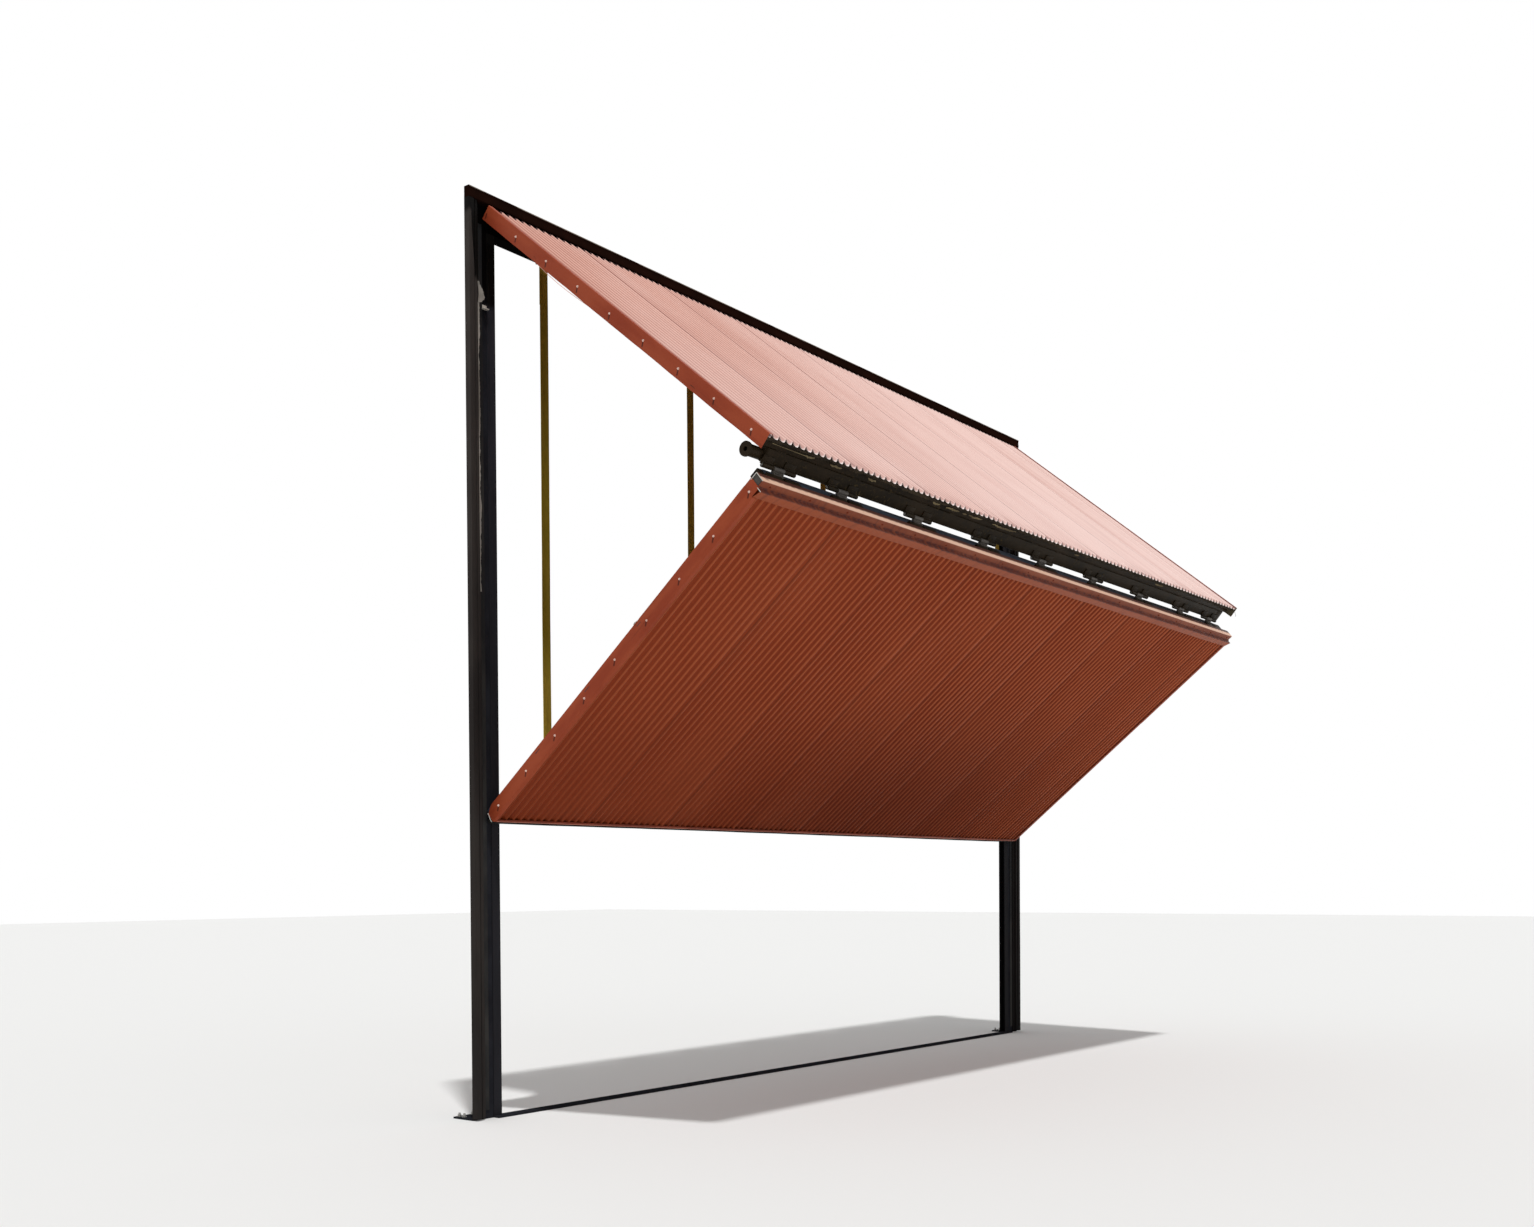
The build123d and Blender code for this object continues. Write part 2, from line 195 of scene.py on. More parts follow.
# Screws down the side trims, and ribs as counted in the photo: sheets of thirteen, each lapping the next
# with a slightly wider gap. "run" is the way the painted shadow of each screw head falls, with some dirt, in
# the leaf's y and z.
trimScrews = {"upper": {"first": -0.384, "pitch": 0.3703, "count": 8, "y": -0.0135, "run": (0.907, 0.421)},
              "lower": {"first": -0.112, "pitch": 0.352, "count": 9, "y": -0.156, "run": (-0.594, 0.805)}}
ribs = {"pitch": 0.0663, "sheetWidth": 0.8675, "perSheet": 13, "firstLap": -2.789, "lapGap": 0.036,
        "seam": 0.025}


def sheetPaint(name, leaf, front, crest, ground, far, low, dirtAndShade):
    p = Paint(name, leaf=leaf)
    streak = p.noise((34, 2, 0.7), rough=0.6)
    broad = p.noise((0.9, 1, 0.5), detail=3)
    grain = p.noise((420, 420, 420), detail=2)
    deep = (0.003, 0.010) if leaf is upper else (0.005, 0.012)
    spread = p.x.band(-3.4, 1.6)
    base = p.mix(spread * 0.8, crest, far)
    if leaf is lower:  # the painted rib shade fades out near the bottom left
        base = p.mix((p.z * -1).band(1.4, 3.0) * (1.0 - spread) * 0.65, base, ground)
    # The valleys take the darker ground colour: painted shade in the hollows of the ribs.
    base = p.mix((p.y - front).band(*deep), base, p.mix(spread, ground, low))
    base = p.mix(broad.band(0.42, 0.75) * 0.25, base, far)
    base = p.mix(streak.band(0.52, 0.8) * 0.22, base, dirtAndShade)
    width = ribs["sheetWidth"]
    lap = (p.x - ribs["firstLap"]).repeat(width)
    if leaf is upper:
        # A dark line beside each lap: painted shadow of the lapping sheet's edge.
        base = p.mix(lap.line(ribs["seam"], 0.0025, 0.003) * 0.85, base, dirtAndShade)
        # A dark line on the flank of each rib: painted shade.
        along = ((p.x - ribs["firstLap"]) / width).fract() * width - ribs["lapGap"]
        flankShade = ((along / ribs["pitch"]).fract() - 0.25).absolute()
        base = p.mix((1.0 - flankShade.band(0.06, 0.22)) * 0.42, base, dirtAndShade)
        # The top of the sheet is painted dark red, serrated by the ribs: painted shadow of the header.
        shade = (p.z + (p.y - front) * 1.3).band(-0.018, -0.012)
        base = p.mix(shade, base, (52, 12, 8))
        base = p.mix((p.z * -1).band(0.4, 3.0) * 0.3, base, (246, 226, 222))
        # The lower ends of the ribs are painted near white: painted highlight on the bent teeth.
        base = p.mix(1.0 - p.z.band(claddingEnd, claddingEnd + 0.024), base, (255, 244, 240))
        # Darker bands to the right: painted shade of the sheet's waviness.
        bands = p.noise((8, 1, 0.12), detail=3)
        base = p.mix(bands.band(0.5, 0.62) * p.x.band(0.4, 2.6) * 0.22, base, (206, 160, 150))
    else:
        # A dark line at each lap: painted shadow of the lapping sheet's edge.
        base = p.mix(lap.line(ribs["seam"], 0.003, 0.004) * (broad * 0.6), base, dirtAndShade)
        # Darker towards the bottom middle: painted shade where the floor in front lies in the door's shadow.
        middle = 1.0 - ((p.x - 0.9) * 0.3).absolute().band(0.1, 1.0)
        base = p.mix((p.z * -1).band(0.9, 2.8) * (middle * 0.4 + 0.15), base, dirtAndShade)
    foot = 1.0 - (p.z - (claddingEnd if leaf is upper else -leafLength)).band(0.0, 0.25)
    base = p.mix(foot * streak.band(0.4, 0.7) * 0.35, base, dirtAndShade)
    p.finish(base, grain * 0.12 + broad * 0.12 + 0.45, grain * 0.5 + streak, distance=0.0003, strength=0.3)


def trimPaint(name, leaf, bright, deep, dirtAndShade, front=None, screws=None):
    p = Paint(name, leaf=leaf)
    broad = p.noise((2.2, 9, 2.2))
    streak = p.noise((30, 30, 1.4))
    grain = p.noise((500, 500, 500), detail=2)
    base = p.mix(broad.band(0.35, 0.7), bright, deep)
    base = p.mix(streak.band(0.58, 0.8) * 0.4, base, dirtAndShade)
    chips = p.cells((60, 60, 60)).band(0.0, 0.09)
    base = p.mix((1.0 - chips) * broad.band(0.55, 0.72) * 0.5, base, dirtAndShade)
    if screws is not None:  # the inner side is bare, and each screw head has a painted shadow, with some dirt, below it
        inside = 1.0 - (p.x * p.facing()).band(-1.5, -0.5)
        bare = p.mix(p.x.band(-1.0, 1.0), (54, 47, 40), (104, 96, 76))
        base = p.mix(inside * (p.y - front).band(0.002, 0.004), base, bare)
        below = (p.z * -1 + screws["first"]).repeat(screws["pitch"])
        side = p.y - screws["y"]
        shadowRunY, shadowRunZ = screws["run"]
        along = side * shadowRunY + below * shadowRunZ
        across = (side * shadowRunZ - below * shadowRunY).absolute()
        # Below each screw, a painted shadow of its head, with some dirt.
        screwShadow = (1.0 - across.band(0.004, 0.008)) * along.band(0.002, 0.006) * (1.0 - along.band(0.034, 0.044))
        base = p.mix(screwShadow * 0.8, base, dirtAndShade)
    p.finish(base, grain * 0.14 + broad * 0.16 + 0.34, grain + broad * 2, distance=0.0004, strength=0.5)


def capPaint(name):
    p = Paint(name, leaf=lower)
    broad = p.noise((1.6, 12, 12))
    streak = p.noise((26, 10, 2))
    grain = p.noise((500, 500, 500), detail=2)
    top = p.z.band(-0.004, -0.001)
    base = p.mix(broad.band(0.35, 0.68), (142, 74, 48), (126, 60, 36))
    # The flange below the nose is painted a lighter red: painted light from the floor on it.
    base = p.mix(1.0 - p.z.band(-0.062, -0.054), base, (154, 76, 44))
    # The top face is painted pale: painted sunlight on it.
    base = p.mix(top, base, (224, 182, 158))
    # Its back part is painted dark: painted shadow of the upper leaf.
    base = p.mix(top * p.y.band(-0.15, -0.135), base, (92, 50, 38))
    base = p.mix(streak.band(0.5, 0.74) * 0.5 * (1.0 - top), base, (92, 44, 34))
    # A dark line in patches along the step above the nose: painted shade.
    base = p.mix(p.z.line(-0.05, 0.004, 0.008) * streak.band(0.3, 0.6) * 0.8, base, (84, 44, 42))
    p.finish(base, grain * 0.14 + broad * 0.16 + 0.34, grain + broad * 2, distance=0.0006, strength=0.5)


def steelPaint(name, leaf, bright, deep, rust, rusting=0.62, metallic=0.0, gloss=0.15, shadeFrom=None):
    p = Paint(name, metallic=metallic, leaf=leaf, gloss=gloss)
    broad = p.noise((3, 3, 3), detail=6, rough=0.62)
    fine = p.noise((45, 45, 45))
    grain = p.noise((380, 380, 380), detail=2)
    base = p.mix(broad.band(0.32, 0.66), bright, deep)
    spots = fine.band(rusting, rusting + 0.14) * broad.band(0.4, 0.6)
    base = p.mix(spots, base, rust)
    rough = spots * 0.25 + grain * 0.15 + 0.42
    if shadeFrom:
        # Near black from shadeFrom up: painted shade of the dark space behind the opening.
        base = p.mix(p.z.band(shadeFrom, shadeFrom + 0.3) * 0.97, base, (8, 6, 6))
    p.finish(base, rough, fine * 0.6 + grain * 0.3, distance=0.0006, strength=0.6)


def topTubePaint(name):  # blue-grey turning brown to the right, with dark overspray in front under the cap
    p = Paint(name, leaf=lower)
    broad = p.noise((2.4, 14, 14), detail=6, rough=0.62)
    fine = p.noise((40, 60, 60))
    grain = p.noise((380, 380, 380), detail=2)
    base = p.mix(broad.band(0.34, 0.66), (72, 80, 92), (48, 54, 64))
    base = p.mix(p.x.band(-0.6, 3.2) * 0.75, base, (40, 29, 25))
    base = p.mix(fine.band(0.56, 0.72) * 0.55, base, (112, 112, 118))
    near = 1.0 - (p.y + broad * 0.03).band(-0.1, -0.088)
    base = p.mix(near * p.z.band(-0.09, -0.06) * 0.85, base, (64, 37, 30))
    base = p.mix(fine.band(0.6, 0.75) * 0.4, base, (70, 46, 34))
    p.finish(base, grain * 0.15 + 0.42, fine * 0.6 + grain * 0.3, distance=0.0006, strength=0.6)


def rubberPaint(name):
    p = Paint(name)
    broad = p.noise((5, 5, 2), detail=4)
    grain = p.noise((260, 260, 260), detail=3)
    base = p.mix(broad.band(0.4, 0.7), (30, 30, 31), (52, 51, 49))
    p.finish(base, grain * 0.2 + 0.62, grain, distance=0.0006, strength=0.6)


def foamPaint(name, bright, deep):
    p = Paint(name)
    broad = p.noise((7, 30, 30), detail=6, rough=0.65)
    grain = p.noise((160, 160, 160), detail=4)
    base = p.mix(broad.band(0.38, 0.62), deep, bright)
    base = p.mix(grain.band(0.5, 0.75) * 0.5, base, (30, 26, 22))
    p.finish(base, 0.9, grain + broad, distance=0.002, strength=0.9)


def webbingPaint(name):
    p = Paint(name)
    warp = (p.x * 620.0).fract()
    weft = (p.z * 430.0).fract()
    thread = (warp - 0.5).absolute() + (weft - 0.5).absolute()
    wear = p.noise((24, 24, 3))
    soil = p.noise((3, 3, 0.8), detail=4)
    base = p.mix(thread.band(0.15, 0.85), (252, 232, 96), (224, 200, 62))
    # Darker towards the top: painted shade on the upper webbing.
    base = p.mix(p.z.band(2.75, 3.5) * 0.85, base, (134, 114, 20))
    base = p.mix(p.z.band(4.2, 5.2) * 0.5, base, (92, 62, 8))
    base = p.mix(wear.band(0.45, 0.75) * 0.3, base, (186, 160, 70))
    base = p.mix(soil.band(0.5, 0.72) * 0.3, base, (110, 86, 24))
    p.finish(base, wear * 0.15 + 0.72, thread, distance=0.0006, strength=0.7)


blackLook = {"tornFrom": 5.70, "tornRise": 0.44, "tornX": 3.764, "tornWidth": 0.024, "outerFrom": 6.14,
            "darkFoot": (2.4, 5.2), "rightFrom": (3.4, 3.5)}


def jambPaint(name, bright, deep, stain, blackFrom):
    k = blackLook
    p = Paint(name, gloss=0.06)
    streak = p.noise((46, 46, 1.3), rough=0.62)
    broad = p.noise((3, 3, 1.2))
    grain = p.noise((300, 300, 300), detail=2)
    base = p.mix(broad.band(0.36, 0.66), bright, deep)
    base = p.mix(streak.band(0.52, 0.76) * 0.6, base, stain)
    base = p.mix((1.0 - p.z.band(*k["darkFoot"])) * 0.4, base, (20, 18, 17))
    peel = p.cells((40, 40, 14)).band(0.0, 0.14)
    base = p.mix((1.0 - peel) * broad.band(0.52, 0.66) * 0.45, base, (90, 84, 77))
    # Black from blackFrom up, though the outer face keeps its paint up to outerFrom.
    torn = (p.z - k["tornFrom"]).band(0.0, k["tornRise"]) * k["tornWidth"] + k["tornX"]
    outer = (p.x.absolute() - torn + (streak - 0.5) * 0.006).band(0.0, 0.0015)
    ragged = p.z + (streak - 0.5) * 0.12 - outer * (k["outerFrom"] - blackFrom)
    base = p.mix(ragged.band(blackFrom - 0.02, blackFrom + 0.03), base, (11, 9, 8))
    base = p.mix(p.x.band(*k["rightFrom"]) * 0.6, base, (14, 12, 13))  # the right jamb is darker
    p.finish(base, grain * 0.15 + 0.58, streak + grain, distance=0.0008, strength=0.6)


sheetPaint("sheetUpper", upper, upperFront, crest=(226, 174, 158), ground=(186, 128, 112),
           far=(250, 222, 214), low=(204, 152, 140), dirtAndShade=(140, 80, 68))
sheetPaint("sheetLower", lower, lowerFront, crest=(166, 82, 46), ground=(138, 54, 20),
           far=(178, 92, 56), low=(122, 46, 16), dirtAndShade=(84, 28, 10))
trimPaint("trimUpper", upper, (154, 68, 40), (140, 56, 32), (62, 20, 12), upperFront, trimScrews["upper"])
trimPaint("trimLower", lower, (160, 72, 42), (146, 60, 34), (62, 22, 12), lowerFront, trimScrews["lower"])
trimPaint("trimPlain", lower, (128, 52, 28), (108, 42, 22), (64, 26, 14))
# A pale edge: painted highlight where the sprung lip catches the light.
trimPaint("highlightEdge", lower, (232, 168, 150), (206, 138, 120), (128, 72, 58))
trimPaint("rimEdge", lower, (190, 122, 104), (158, 94, 78), (100, 52, 40))
capPaint("capTrim")
topTubePaint("topTube")
steelPaint("leafFrame", upper, (44, 42, 42), (34, 31, 29), (66, 54, 42))
steelPaint("lowerFrame", lower, (58, 64, 76), (44, 48, 58), (84, 72, 60))
steelPaint("foldUnder", upper, (48, 38, 26), (32, 26, 18), (70, 58, 38), rusting=0.55, gloss=0.06)
steelPaint("postGrey", None, (42, 43, 48), (32, 32, 36), (60, 52, 44), gloss=0.0, shadeFrom=5.4)
steelPaint("cutEdge", None, (226, 222, 214), (198, 192, 182), (150, 132, 112), rusting=0.66)
steelPaint("hingeSteel", None, (76, 72, 68), (56, 52, 48), (88, 72, 56))
steelPaint("lugSteel", lower, (104, 98, 92), (80, 76, 72), (86, 66, 50))
steelPaint("motorGrey", lower, (92, 98, 100), (70, 76, 78), (88, 76, 62), rusting=0.7)
steelPaint("pinSteel", None, (120, 118, 114), (88, 86, 82), (100, 72, 48), rusting=0.5, metallic=0.8)
# The screw heads are painted near white: painted highlight on their tops.
steelPaint("screwSteel", None, (244, 216, 204), (222, 188, 174), (150, 104, 80), rusting=0.66)
steelPaint("brightSteel", None, (186, 184, 180), (150, 148, 144), (112, 92, 72), rusting=0.6, metallic=0.5)
steelPaint("headerBlack", None, (36, 18, 13), (26, 14, 10), (48, 30, 22), rusting=0.66, gloss=0.0)
steelPaint("headerEdgeHighlight", None, (150, 138, 124), (120, 108, 96), (84, 70, 58), rusting=0.6)
jambPaint("jambGrey", (63, 58, 55), (48, 44, 43), (32, 29, 27), blackFrom=5.70)
jambPaint("trackGrey", (46, 46, 52), (36, 36, 41), (24, 24, 27), blackFrom=5.56)
jambPaint("tornGrey", (170, 164, 156), (112, 106, 98), (58, 54, 48), blackFrom=7.0)
rubberPaint("rubber")
foamPaint("foam", (64, 54, 40), (42, 36, 28))
foamPaint("foamLight", (132, 118, 88), (92, 80, 60))
webbingPaint("webbing")
print("paints done")


def made(name, bm, paint, nodeName=None, smooth=40):  # the finished piece, in place of its CAD node
    mesh = bpy.data.meshes.new(name)
    bmesh.ops.recalc_face_normals(bm, faces=bm.faces)
    bm.to_mesh(mesh)
    bm.free()
    piece = bpy.data.objects.new(name, mesh)
    bpy.context.collection.objects.link(piece)
    mesh.materials.append(paints[paint])
    mesh.shade_smooth()
    mesh.set_sharp_from_angle(angle=math.radians(smooth))
    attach(piece, "root")
    if nodeName:
        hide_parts(nodeName)


def join(bm, part, place=None):
    if place is not None:
        bmesh.ops.transform(part, matrix=place, verts=part.verts)
    scratch = bpy.data.meshes.new("scratch")
    part.to_mesh(scratch)
    part.free()
    bm.from_mesh(scratch)
    bpy.data.meshes.remove(scratch)


def addBox(bm, low, high, place=None, bevel=0.0, segments=2):
    part = bmesh.new()
    bmesh.ops.create_cube(part, size=1.0)
    low, high = Vector(low), Vector(high)
    bmesh.ops.scale(part, vec=high - low, verts=part.verts)
    bmesh.ops.translate(part, vec=(low + high) / 2, verts=part.verts)
    if bevel:
        bmesh.ops.bevel(part, geom=part.edges, offset=bevel, offset_type="OFFSET", segments=segments,
                        profile=0.5, affect="EDGES", material=-1, clamp_overlap=True)
    join(bm, part, place)


def addRod(bm, start, end, radius, sides=24, place=None, bevel=0.0, tip=None):
    start, end = Vector(start), Vector(end)
    axis = end - start
    part = bmesh.new()
    bmesh.ops.create_cone(part, cap_ends=True, segments=sides, radius1=radius,
                          radius2=radius if tip is None else tip, depth=axis.length)
    if bevel:
        rims = [e for e in part.edges if len(e.link_faces) == 2 and abs(e.calc_face_angle()) > 1.0]
        bmesh.ops.bevel(part, geom=rims, offset=bevel, offset_type="OFFSET", segments=2, profile=0.5,
                        affect="EDGES", material=-1)
    turn = axis.to_track_quat("Z", "Y").to_matrix().to_4x4()
    bmesh.ops.transform(part, matrix=Matrix.Translation((start + end) / 2) @ turn, verts=part.verts)
    join(bm, part, place)


def addTube(bm, start, end, outer, inner, sides=32, place=None):  # a ring or pipe with a clear bore
    start, end = Vector(start), Vector(end)
    axis = end - start
    part = bmesh.new()
    rings = []
    for z, r in ((0, inner), (0, outer), (axis.length, outer), (axis.length, inner)):
        rings.append([part.verts.new((r * math.cos(t), r * math.sin(t), z))
                      for t in (2 * math.pi * i / sides for i in range(sides))])
    for a, b in zip(rings, rings[1:] + rings[:1]):
        for i in range(sides):
            j = (i + 1) % sides
            part.faces.new((a[i], a[j], b[j], b[i]))
    turn = axis.to_track_quat("Z", "Y").to_matrix().to_4x4()
    bmesh.ops.transform(part, matrix=Matrix.Translation(start) @ turn, verts=part.verts)
    join(bm, part, place)


def sweep(bm, rings, place=None):
    part = bmesh.new()
    rows = [[part.verts.new(point) for point in ring] for ring in rings]
    count = len(rings[0])
    for a, b in zip(rows, rows[1:]):
        for i in range(count):
            j = (i + 1) % count
            part.faces.new((a[i], a[j], b[j], b[i]))
    part.faces.new(rows[0])
    part.faces.new(list(reversed(rows[-1])))
    join(bm, part, place)


def addSquareTube(bm, low, high, radius, wall, place=None):  # along X, open at both ends
    turns = 4

    def loop(inset, x):
        r = max(radius - inset, 0.001)
        y0, z0, y1, z1 = low[1] + inset, low[2] + inset, high[1] - inset, high[2] - inset
        points = []
        corners = ((y1 - r, z1 - r), (y0 + r, z1 - r), (y0 + r, z0 + r), (y1 - r, z0 + r))
        for quarter, (cy, cz) in enumerate(corners):
            for t in ((quarter + i / turns) * math.pi / 2 for i in range(turns + 1)):
                points.append((x, cy + r * math.cos(t), cz + r * math.sin(t)))
        return points

    part = bmesh.new()
    rings = [[part.verts.new(point) for point in loop(inset, x)]
             for inset, x in ((wall, low[0]), (0, low[0]), (0, high[0]), (wall, high[0]))]
    for a, b in zip(rings, rings[1:] + rings[:1]):
        for i in range(len(a)):
            j = (i + 1) % len(a)
            part.faces.new((a[i], a[j], b[j], b[i]))
    join(bm, part, place)


def stepsBetween(low, high, steps):
    return [low + (high - low) * step / steps for step in range(steps + 1)]


def addProfile(bm, points, x0, x1, place=None, steps=1, wobble=None):  # closed (y, z) outline along X
    rings = []
    for x in stepsBetween(x0, x1, steps):
        moved = [wobble(x, y, z) if wobble else (0, 0) for y, z in points]
        rings.append([(x, y + dy, z + dz) for (y, z), (dy, dz) in zip(points, moved)])
    sweep(bm, rings, place)


def addUpright(bm, points, z0, z1, place=None, steps=1, wobble=None):  # closed (x, y) outline along Z
    rings = []
    for z in stepsBetween(z0, z1, steps):
        moved = [wobble(x, y, z) if wobble else (0, 0) for x, y in points]
        rings.append([(x + dx, y + dy, z) for (x, y), (dx, dy) in zip(points, moved)])
    sweep(bm, rings, place)


def folded(path, thickness, radius=0.003, turns=3):  # outline of a folded sheet, its bends rounded
    path = [Vector(point) for point in path]
    soft = [path[0]]
    for before, corner, after in zip(path, path[1:], path[2:]):
        start = corner + (before - corner).normalized() * radius
        end = corner + (after - corner).normalized() * radius
        for i in range(turns + 1):
            t = i / turns
            soft.append(start * (1 - t) ** 2 + corner * 2 * t * (1 - t) + end * t ** 2)
    soft.append(path[-1])
    inner = []
    for i, point in enumerate(soft):
        along = (soft[min(i + 1, len(soft) - 1)] - soft[max(i - 1, 0)]).normalized()
        inner.append(point + Vector((-along.y, along.x)) * thickness)
    return [tuple(point) for point in soft + list(reversed(inner))]


def ripple(x, seed, scale):
    waves = math.sin(x * scale + seed) + 0.6 * math.sin(x * scale * 2.3 + seed * 1.7)
    return (waves + 0.35 * math.sin(x * scale * 5.1 + seed * 2.9)) / 1.95  # from -1 to 1


def addScrew(bm, point, normal, place=None, head=0.005, size=0.006, washer=0.0085, washerThickness=0.0016):
    point, normal = Vector(point), Vector(normal).normalized()
    seat = point + normal * washerThickness
    addRod(bm, point, seat, washer, 12, place, tip=washer * 0.86)
    addRod(bm, seat, point + normal * (washerThickness + head), size, 6, place, tip=size * 0.9)


# Corrugated sheets: narrow rounded crests on a wider ground.

sheetLook = {"columns": 1320, "rows": 14, "proud": 0.0005, "ribHeight": 0.0195, "crestPower": 2.6,
             "thickness": 0.0012, "lapStep": 0.0012, "lapWidth": 0.05, "lapWave": 0.0022, "dent": 0.0009,
             "bentTeeth": 0.0035, "crestCut": 0.018}


def crestPlaces():
    k = ribs
    laps = [k["firstLap"] + k["sheetWidth"] * i for i in range(-1, 8)]
    places = [lap + k["lapGap"] + k["pitch"] * i for lap in laps for i in range(k["perSheet"])]
    return np.array([x for x in places if abs(x) < panelHalf + k["pitch"]]), laps


def ribbedSheet(name, paint, place, front, low, high, nodeName, crestCut=0.0):
    k = sheetLook
    crests, laps = crestPlaces()
    columns, foremost = k["columns"] + 1, front + k["proud"]
    x = np.linspace(-panelHalf, panelHalf, columns)
    z = np.concatenate([[low, low + 0.03], np.linspace(low + 0.1, high, k["rows"] - 2)])
    away = np.abs(x[:, None] - crests[None, :]).min(axis=1) / ribs["pitch"]
    bump = (0.5 + 0.5 * np.cos(2 * np.pi * np.minimum(away, 0.5))) ** k["crestPower"]
    depth = foremost + k["ribHeight"] * (1 - bump)
    swell = np.zeros(columns)
    for lap in laps:
        depth = depth - k["lapStep"] * ((x > lap - k["lapWidth"]) & (x < lap))
        swell += np.exp(-((x - lap + 0.03) / 0.05) ** 2) - 0.6 * np.exp(-((x - lap - 0.09) / 0.06) ** 2)
    bent = np.array([ripple(v, 2.0, 7.0) * max(0.0, ripple(v, 5.0, 1.7)) for v in x]) * k["bentTeeth"]
    bm = bmesh.new()
    sides = []
    for shift in (0.0, k["thickness"]):
        rows = []
        for r in range(k["rows"]):
            inner = 0 < r < k["rows"] - 1
            dent = k["dent"] * np.sin(x * 5.1 + z[r] * 2.3) * np.sin(z[r] * 3.9 + x * 1.1) * inner
            dent = np.maximum(dent - k["lapWave"] * swell * inner, foremost - depth)
            down = (bent + crestCut * bump) * (r == 0)  # crests end a little short, so the teeth stand out
            points = zip(x, depth + shift + dent, z[r] + down)
            rows.append([bm.verts.new(point) for point in points])
        sides.append(rows)
    a, b = sides
    last = k["rows"] - 1
    for r in range(last):
        for c in range(columns - 1):
            bm.faces.new((a[r][c], a[r][c + 1], a[r + 1][c + 1], a[r + 1][c]))
            bm.faces.new((b[r][c], b[r + 1][c], b[r + 1][c + 1], b[r][c + 1]))
        for c in (0, columns - 1):
            bm.faces.new((a[r][c], a[r + 1][c], b[r + 1][c], b[r][c]))
    for c in range(columns - 1):
        for r in (0, last):
            bm.faces.new((a[r][c], b[r][c], b[r][c + 1], a[r][c + 1]))
    bmesh.ops.transform(bm, matrix=place, verts=bm.verts)
    made(name, bm, paint, nodeName, 50)


ribbedSheet("upperSheet", "sheetUpper", upper, upperFront, claddingEnd, 0.0, "upper_sheet",
            sheetLook["crestCut"])
ribbedSheet("lowerSheet", "sheetLower", lower, lowerFront, -leafLength, -0.058, "lower_sheet")
print("sheets done")


# Frames of the leaves: rounded tubes with weld seams, and the fold beams behind their meeting ends.

frameLook = {"tube": 0.076, "wall": 0.004, "girt": 0.051, "girts": 4, "corner": 0.007, "girtCorner": 0.005,
             "weld": 0.0032, "weldIn": 0.006, "clear": 0.0002}


def leafFrame(name, paint, place, front, low, high, nodeName, topPaint=None):
    k = frameLook
    near, far, clear = front + tubeDepth, front + backSteel, k["clear"]
    half, edge, corner, seam = k["tube"] / 2, k["girt"] / 2, k["girtCorner"], far - k["weldIn"]
    bm = bmesh.new()
    crown = bm if topPaint is None else bmesh.new()
    addBox(bm, (-panelHalf, near, low), (panelHalf, far, low + k["tube"]), place, k["corner"])
    addSquareTube(crown, (-panelHalf, near, high - k["tube"]), (panelHalf, far, high), k["corner"], k["wall"],
                  place)
    step = (high - low - k["tube"]) / (k["girts"] + 1)
    rows = [low + half + step * index for index in range(1, k["girts"] + 1)]
    back = near + k["girt"]
    for z in rows:
        addBox(bm, (-panelHalf, near + clear, z - edge), (panelHalf, back, z + edge), place, corner)
    columns = [-panelHalf + edge] + stations + [panelHalf - edge]
    bottom, top = low + k["tube"] + clear, high - k["tube"] - clear
    for x in columns:
        addBox(bm, (x - edge, near + 2 * clear, bottom), (x + edge, far - 2 * clear, top), place, corner)
        for z in (bottom, top):
            addRod(bm, (x - edge, seam, z), (x + edge, seam, z), k["weld"], 8, place)
        for z in rows:
            for side in (x - edge, x + edge):
                addRod(bm, (side, back, z - edge), (side, back, z + edge), k["weld"], 8, place)
    made(name, bm, paint, nodeName)
    if topPaint:
        made(name + "Top", crown, topPaint, nodeName)


leafFrame("upperFrame", "foldUnder", upper, upperFront, beamFoot["upper"], -0.020, "upper_frame")
leafFrame("lowerFrame", "lowerFrame", lower, lowerFront, -leafLength, -0.002, "lower_frame", "topTube")


beamLook = {"half": 3.51, "depth": 0.102, "height": 0.076, "clear": 0.0003, "corner": 0.008,
            "capProud": 0.004, "capFront": 0.004, "capInset": 0.003,
            "welds": 18, "weldSpread": 3.4, "weldHalf": 0.05, "weld": 0.004}


def foldBeam(name, paint, place, front, low, nodeName):
    k = beamLook
    near, half = front + backSteel, k["half"]
    far, high = near + k["depth"], low + k["height"]
    bm = bmesh.new()
    addBox(bm, (-half, near + k["clear"], low), (half, far, high), place, k["corner"], 3)
    inset = k["capInset"]
    for side in (-1, 1):
        x0, x1 = sorted((side * half, side * (half + k["capProud"])))
        addBox(bm, (x0, near + k["capFront"], low + inset), (x1, far - inset, high - inset), place, 0.0012)
    reach, seam = k["weldHalf"], near + 0.001
    for x in stepsBetween(-k["weldSpread"], k["weldSpread"], k["welds"] - 1):
        for z in (low + 0.002, high - 0.002):
            addRod(bm, (x - reach, seam, z), (x + reach, seam, z), k["weld"], 8, place)
    made(name, bm, paint, nodeName)


foldBeam("upperFoldBeam", "foldUnder", upper, upperFront, beamFoot["upper"], "upper_fold_beam")
foldBeam("lowerFoldBeam", "topTube", lower, lowerFront, beamFoot["lower"], "lower_fold_beam")

endLook = {"upperRight": 3.622, "lowerRight": 3.660, "lowerLeft": -3.554, "inset": 0.002, "corner": 0.006}


def beamEnd(name, paint, place, front, low, x):  # stub that carries a fold beam on past its cap
    k = beamLook
    x0, x1 = sorted((math.copysign(k["half"] + k["capProud"], x), x))
    near, inset = front + backSteel, endLook["inset"]
    far, high = near + k["depth"], low + k["height"]
    bm = bmesh.new()
    start, end = (x0, near + k["clear"], low + inset), (x1, far - inset, high - inset)
    addBox(bm, start, end, place, endLook["corner"])
    made(name, bm, paint)


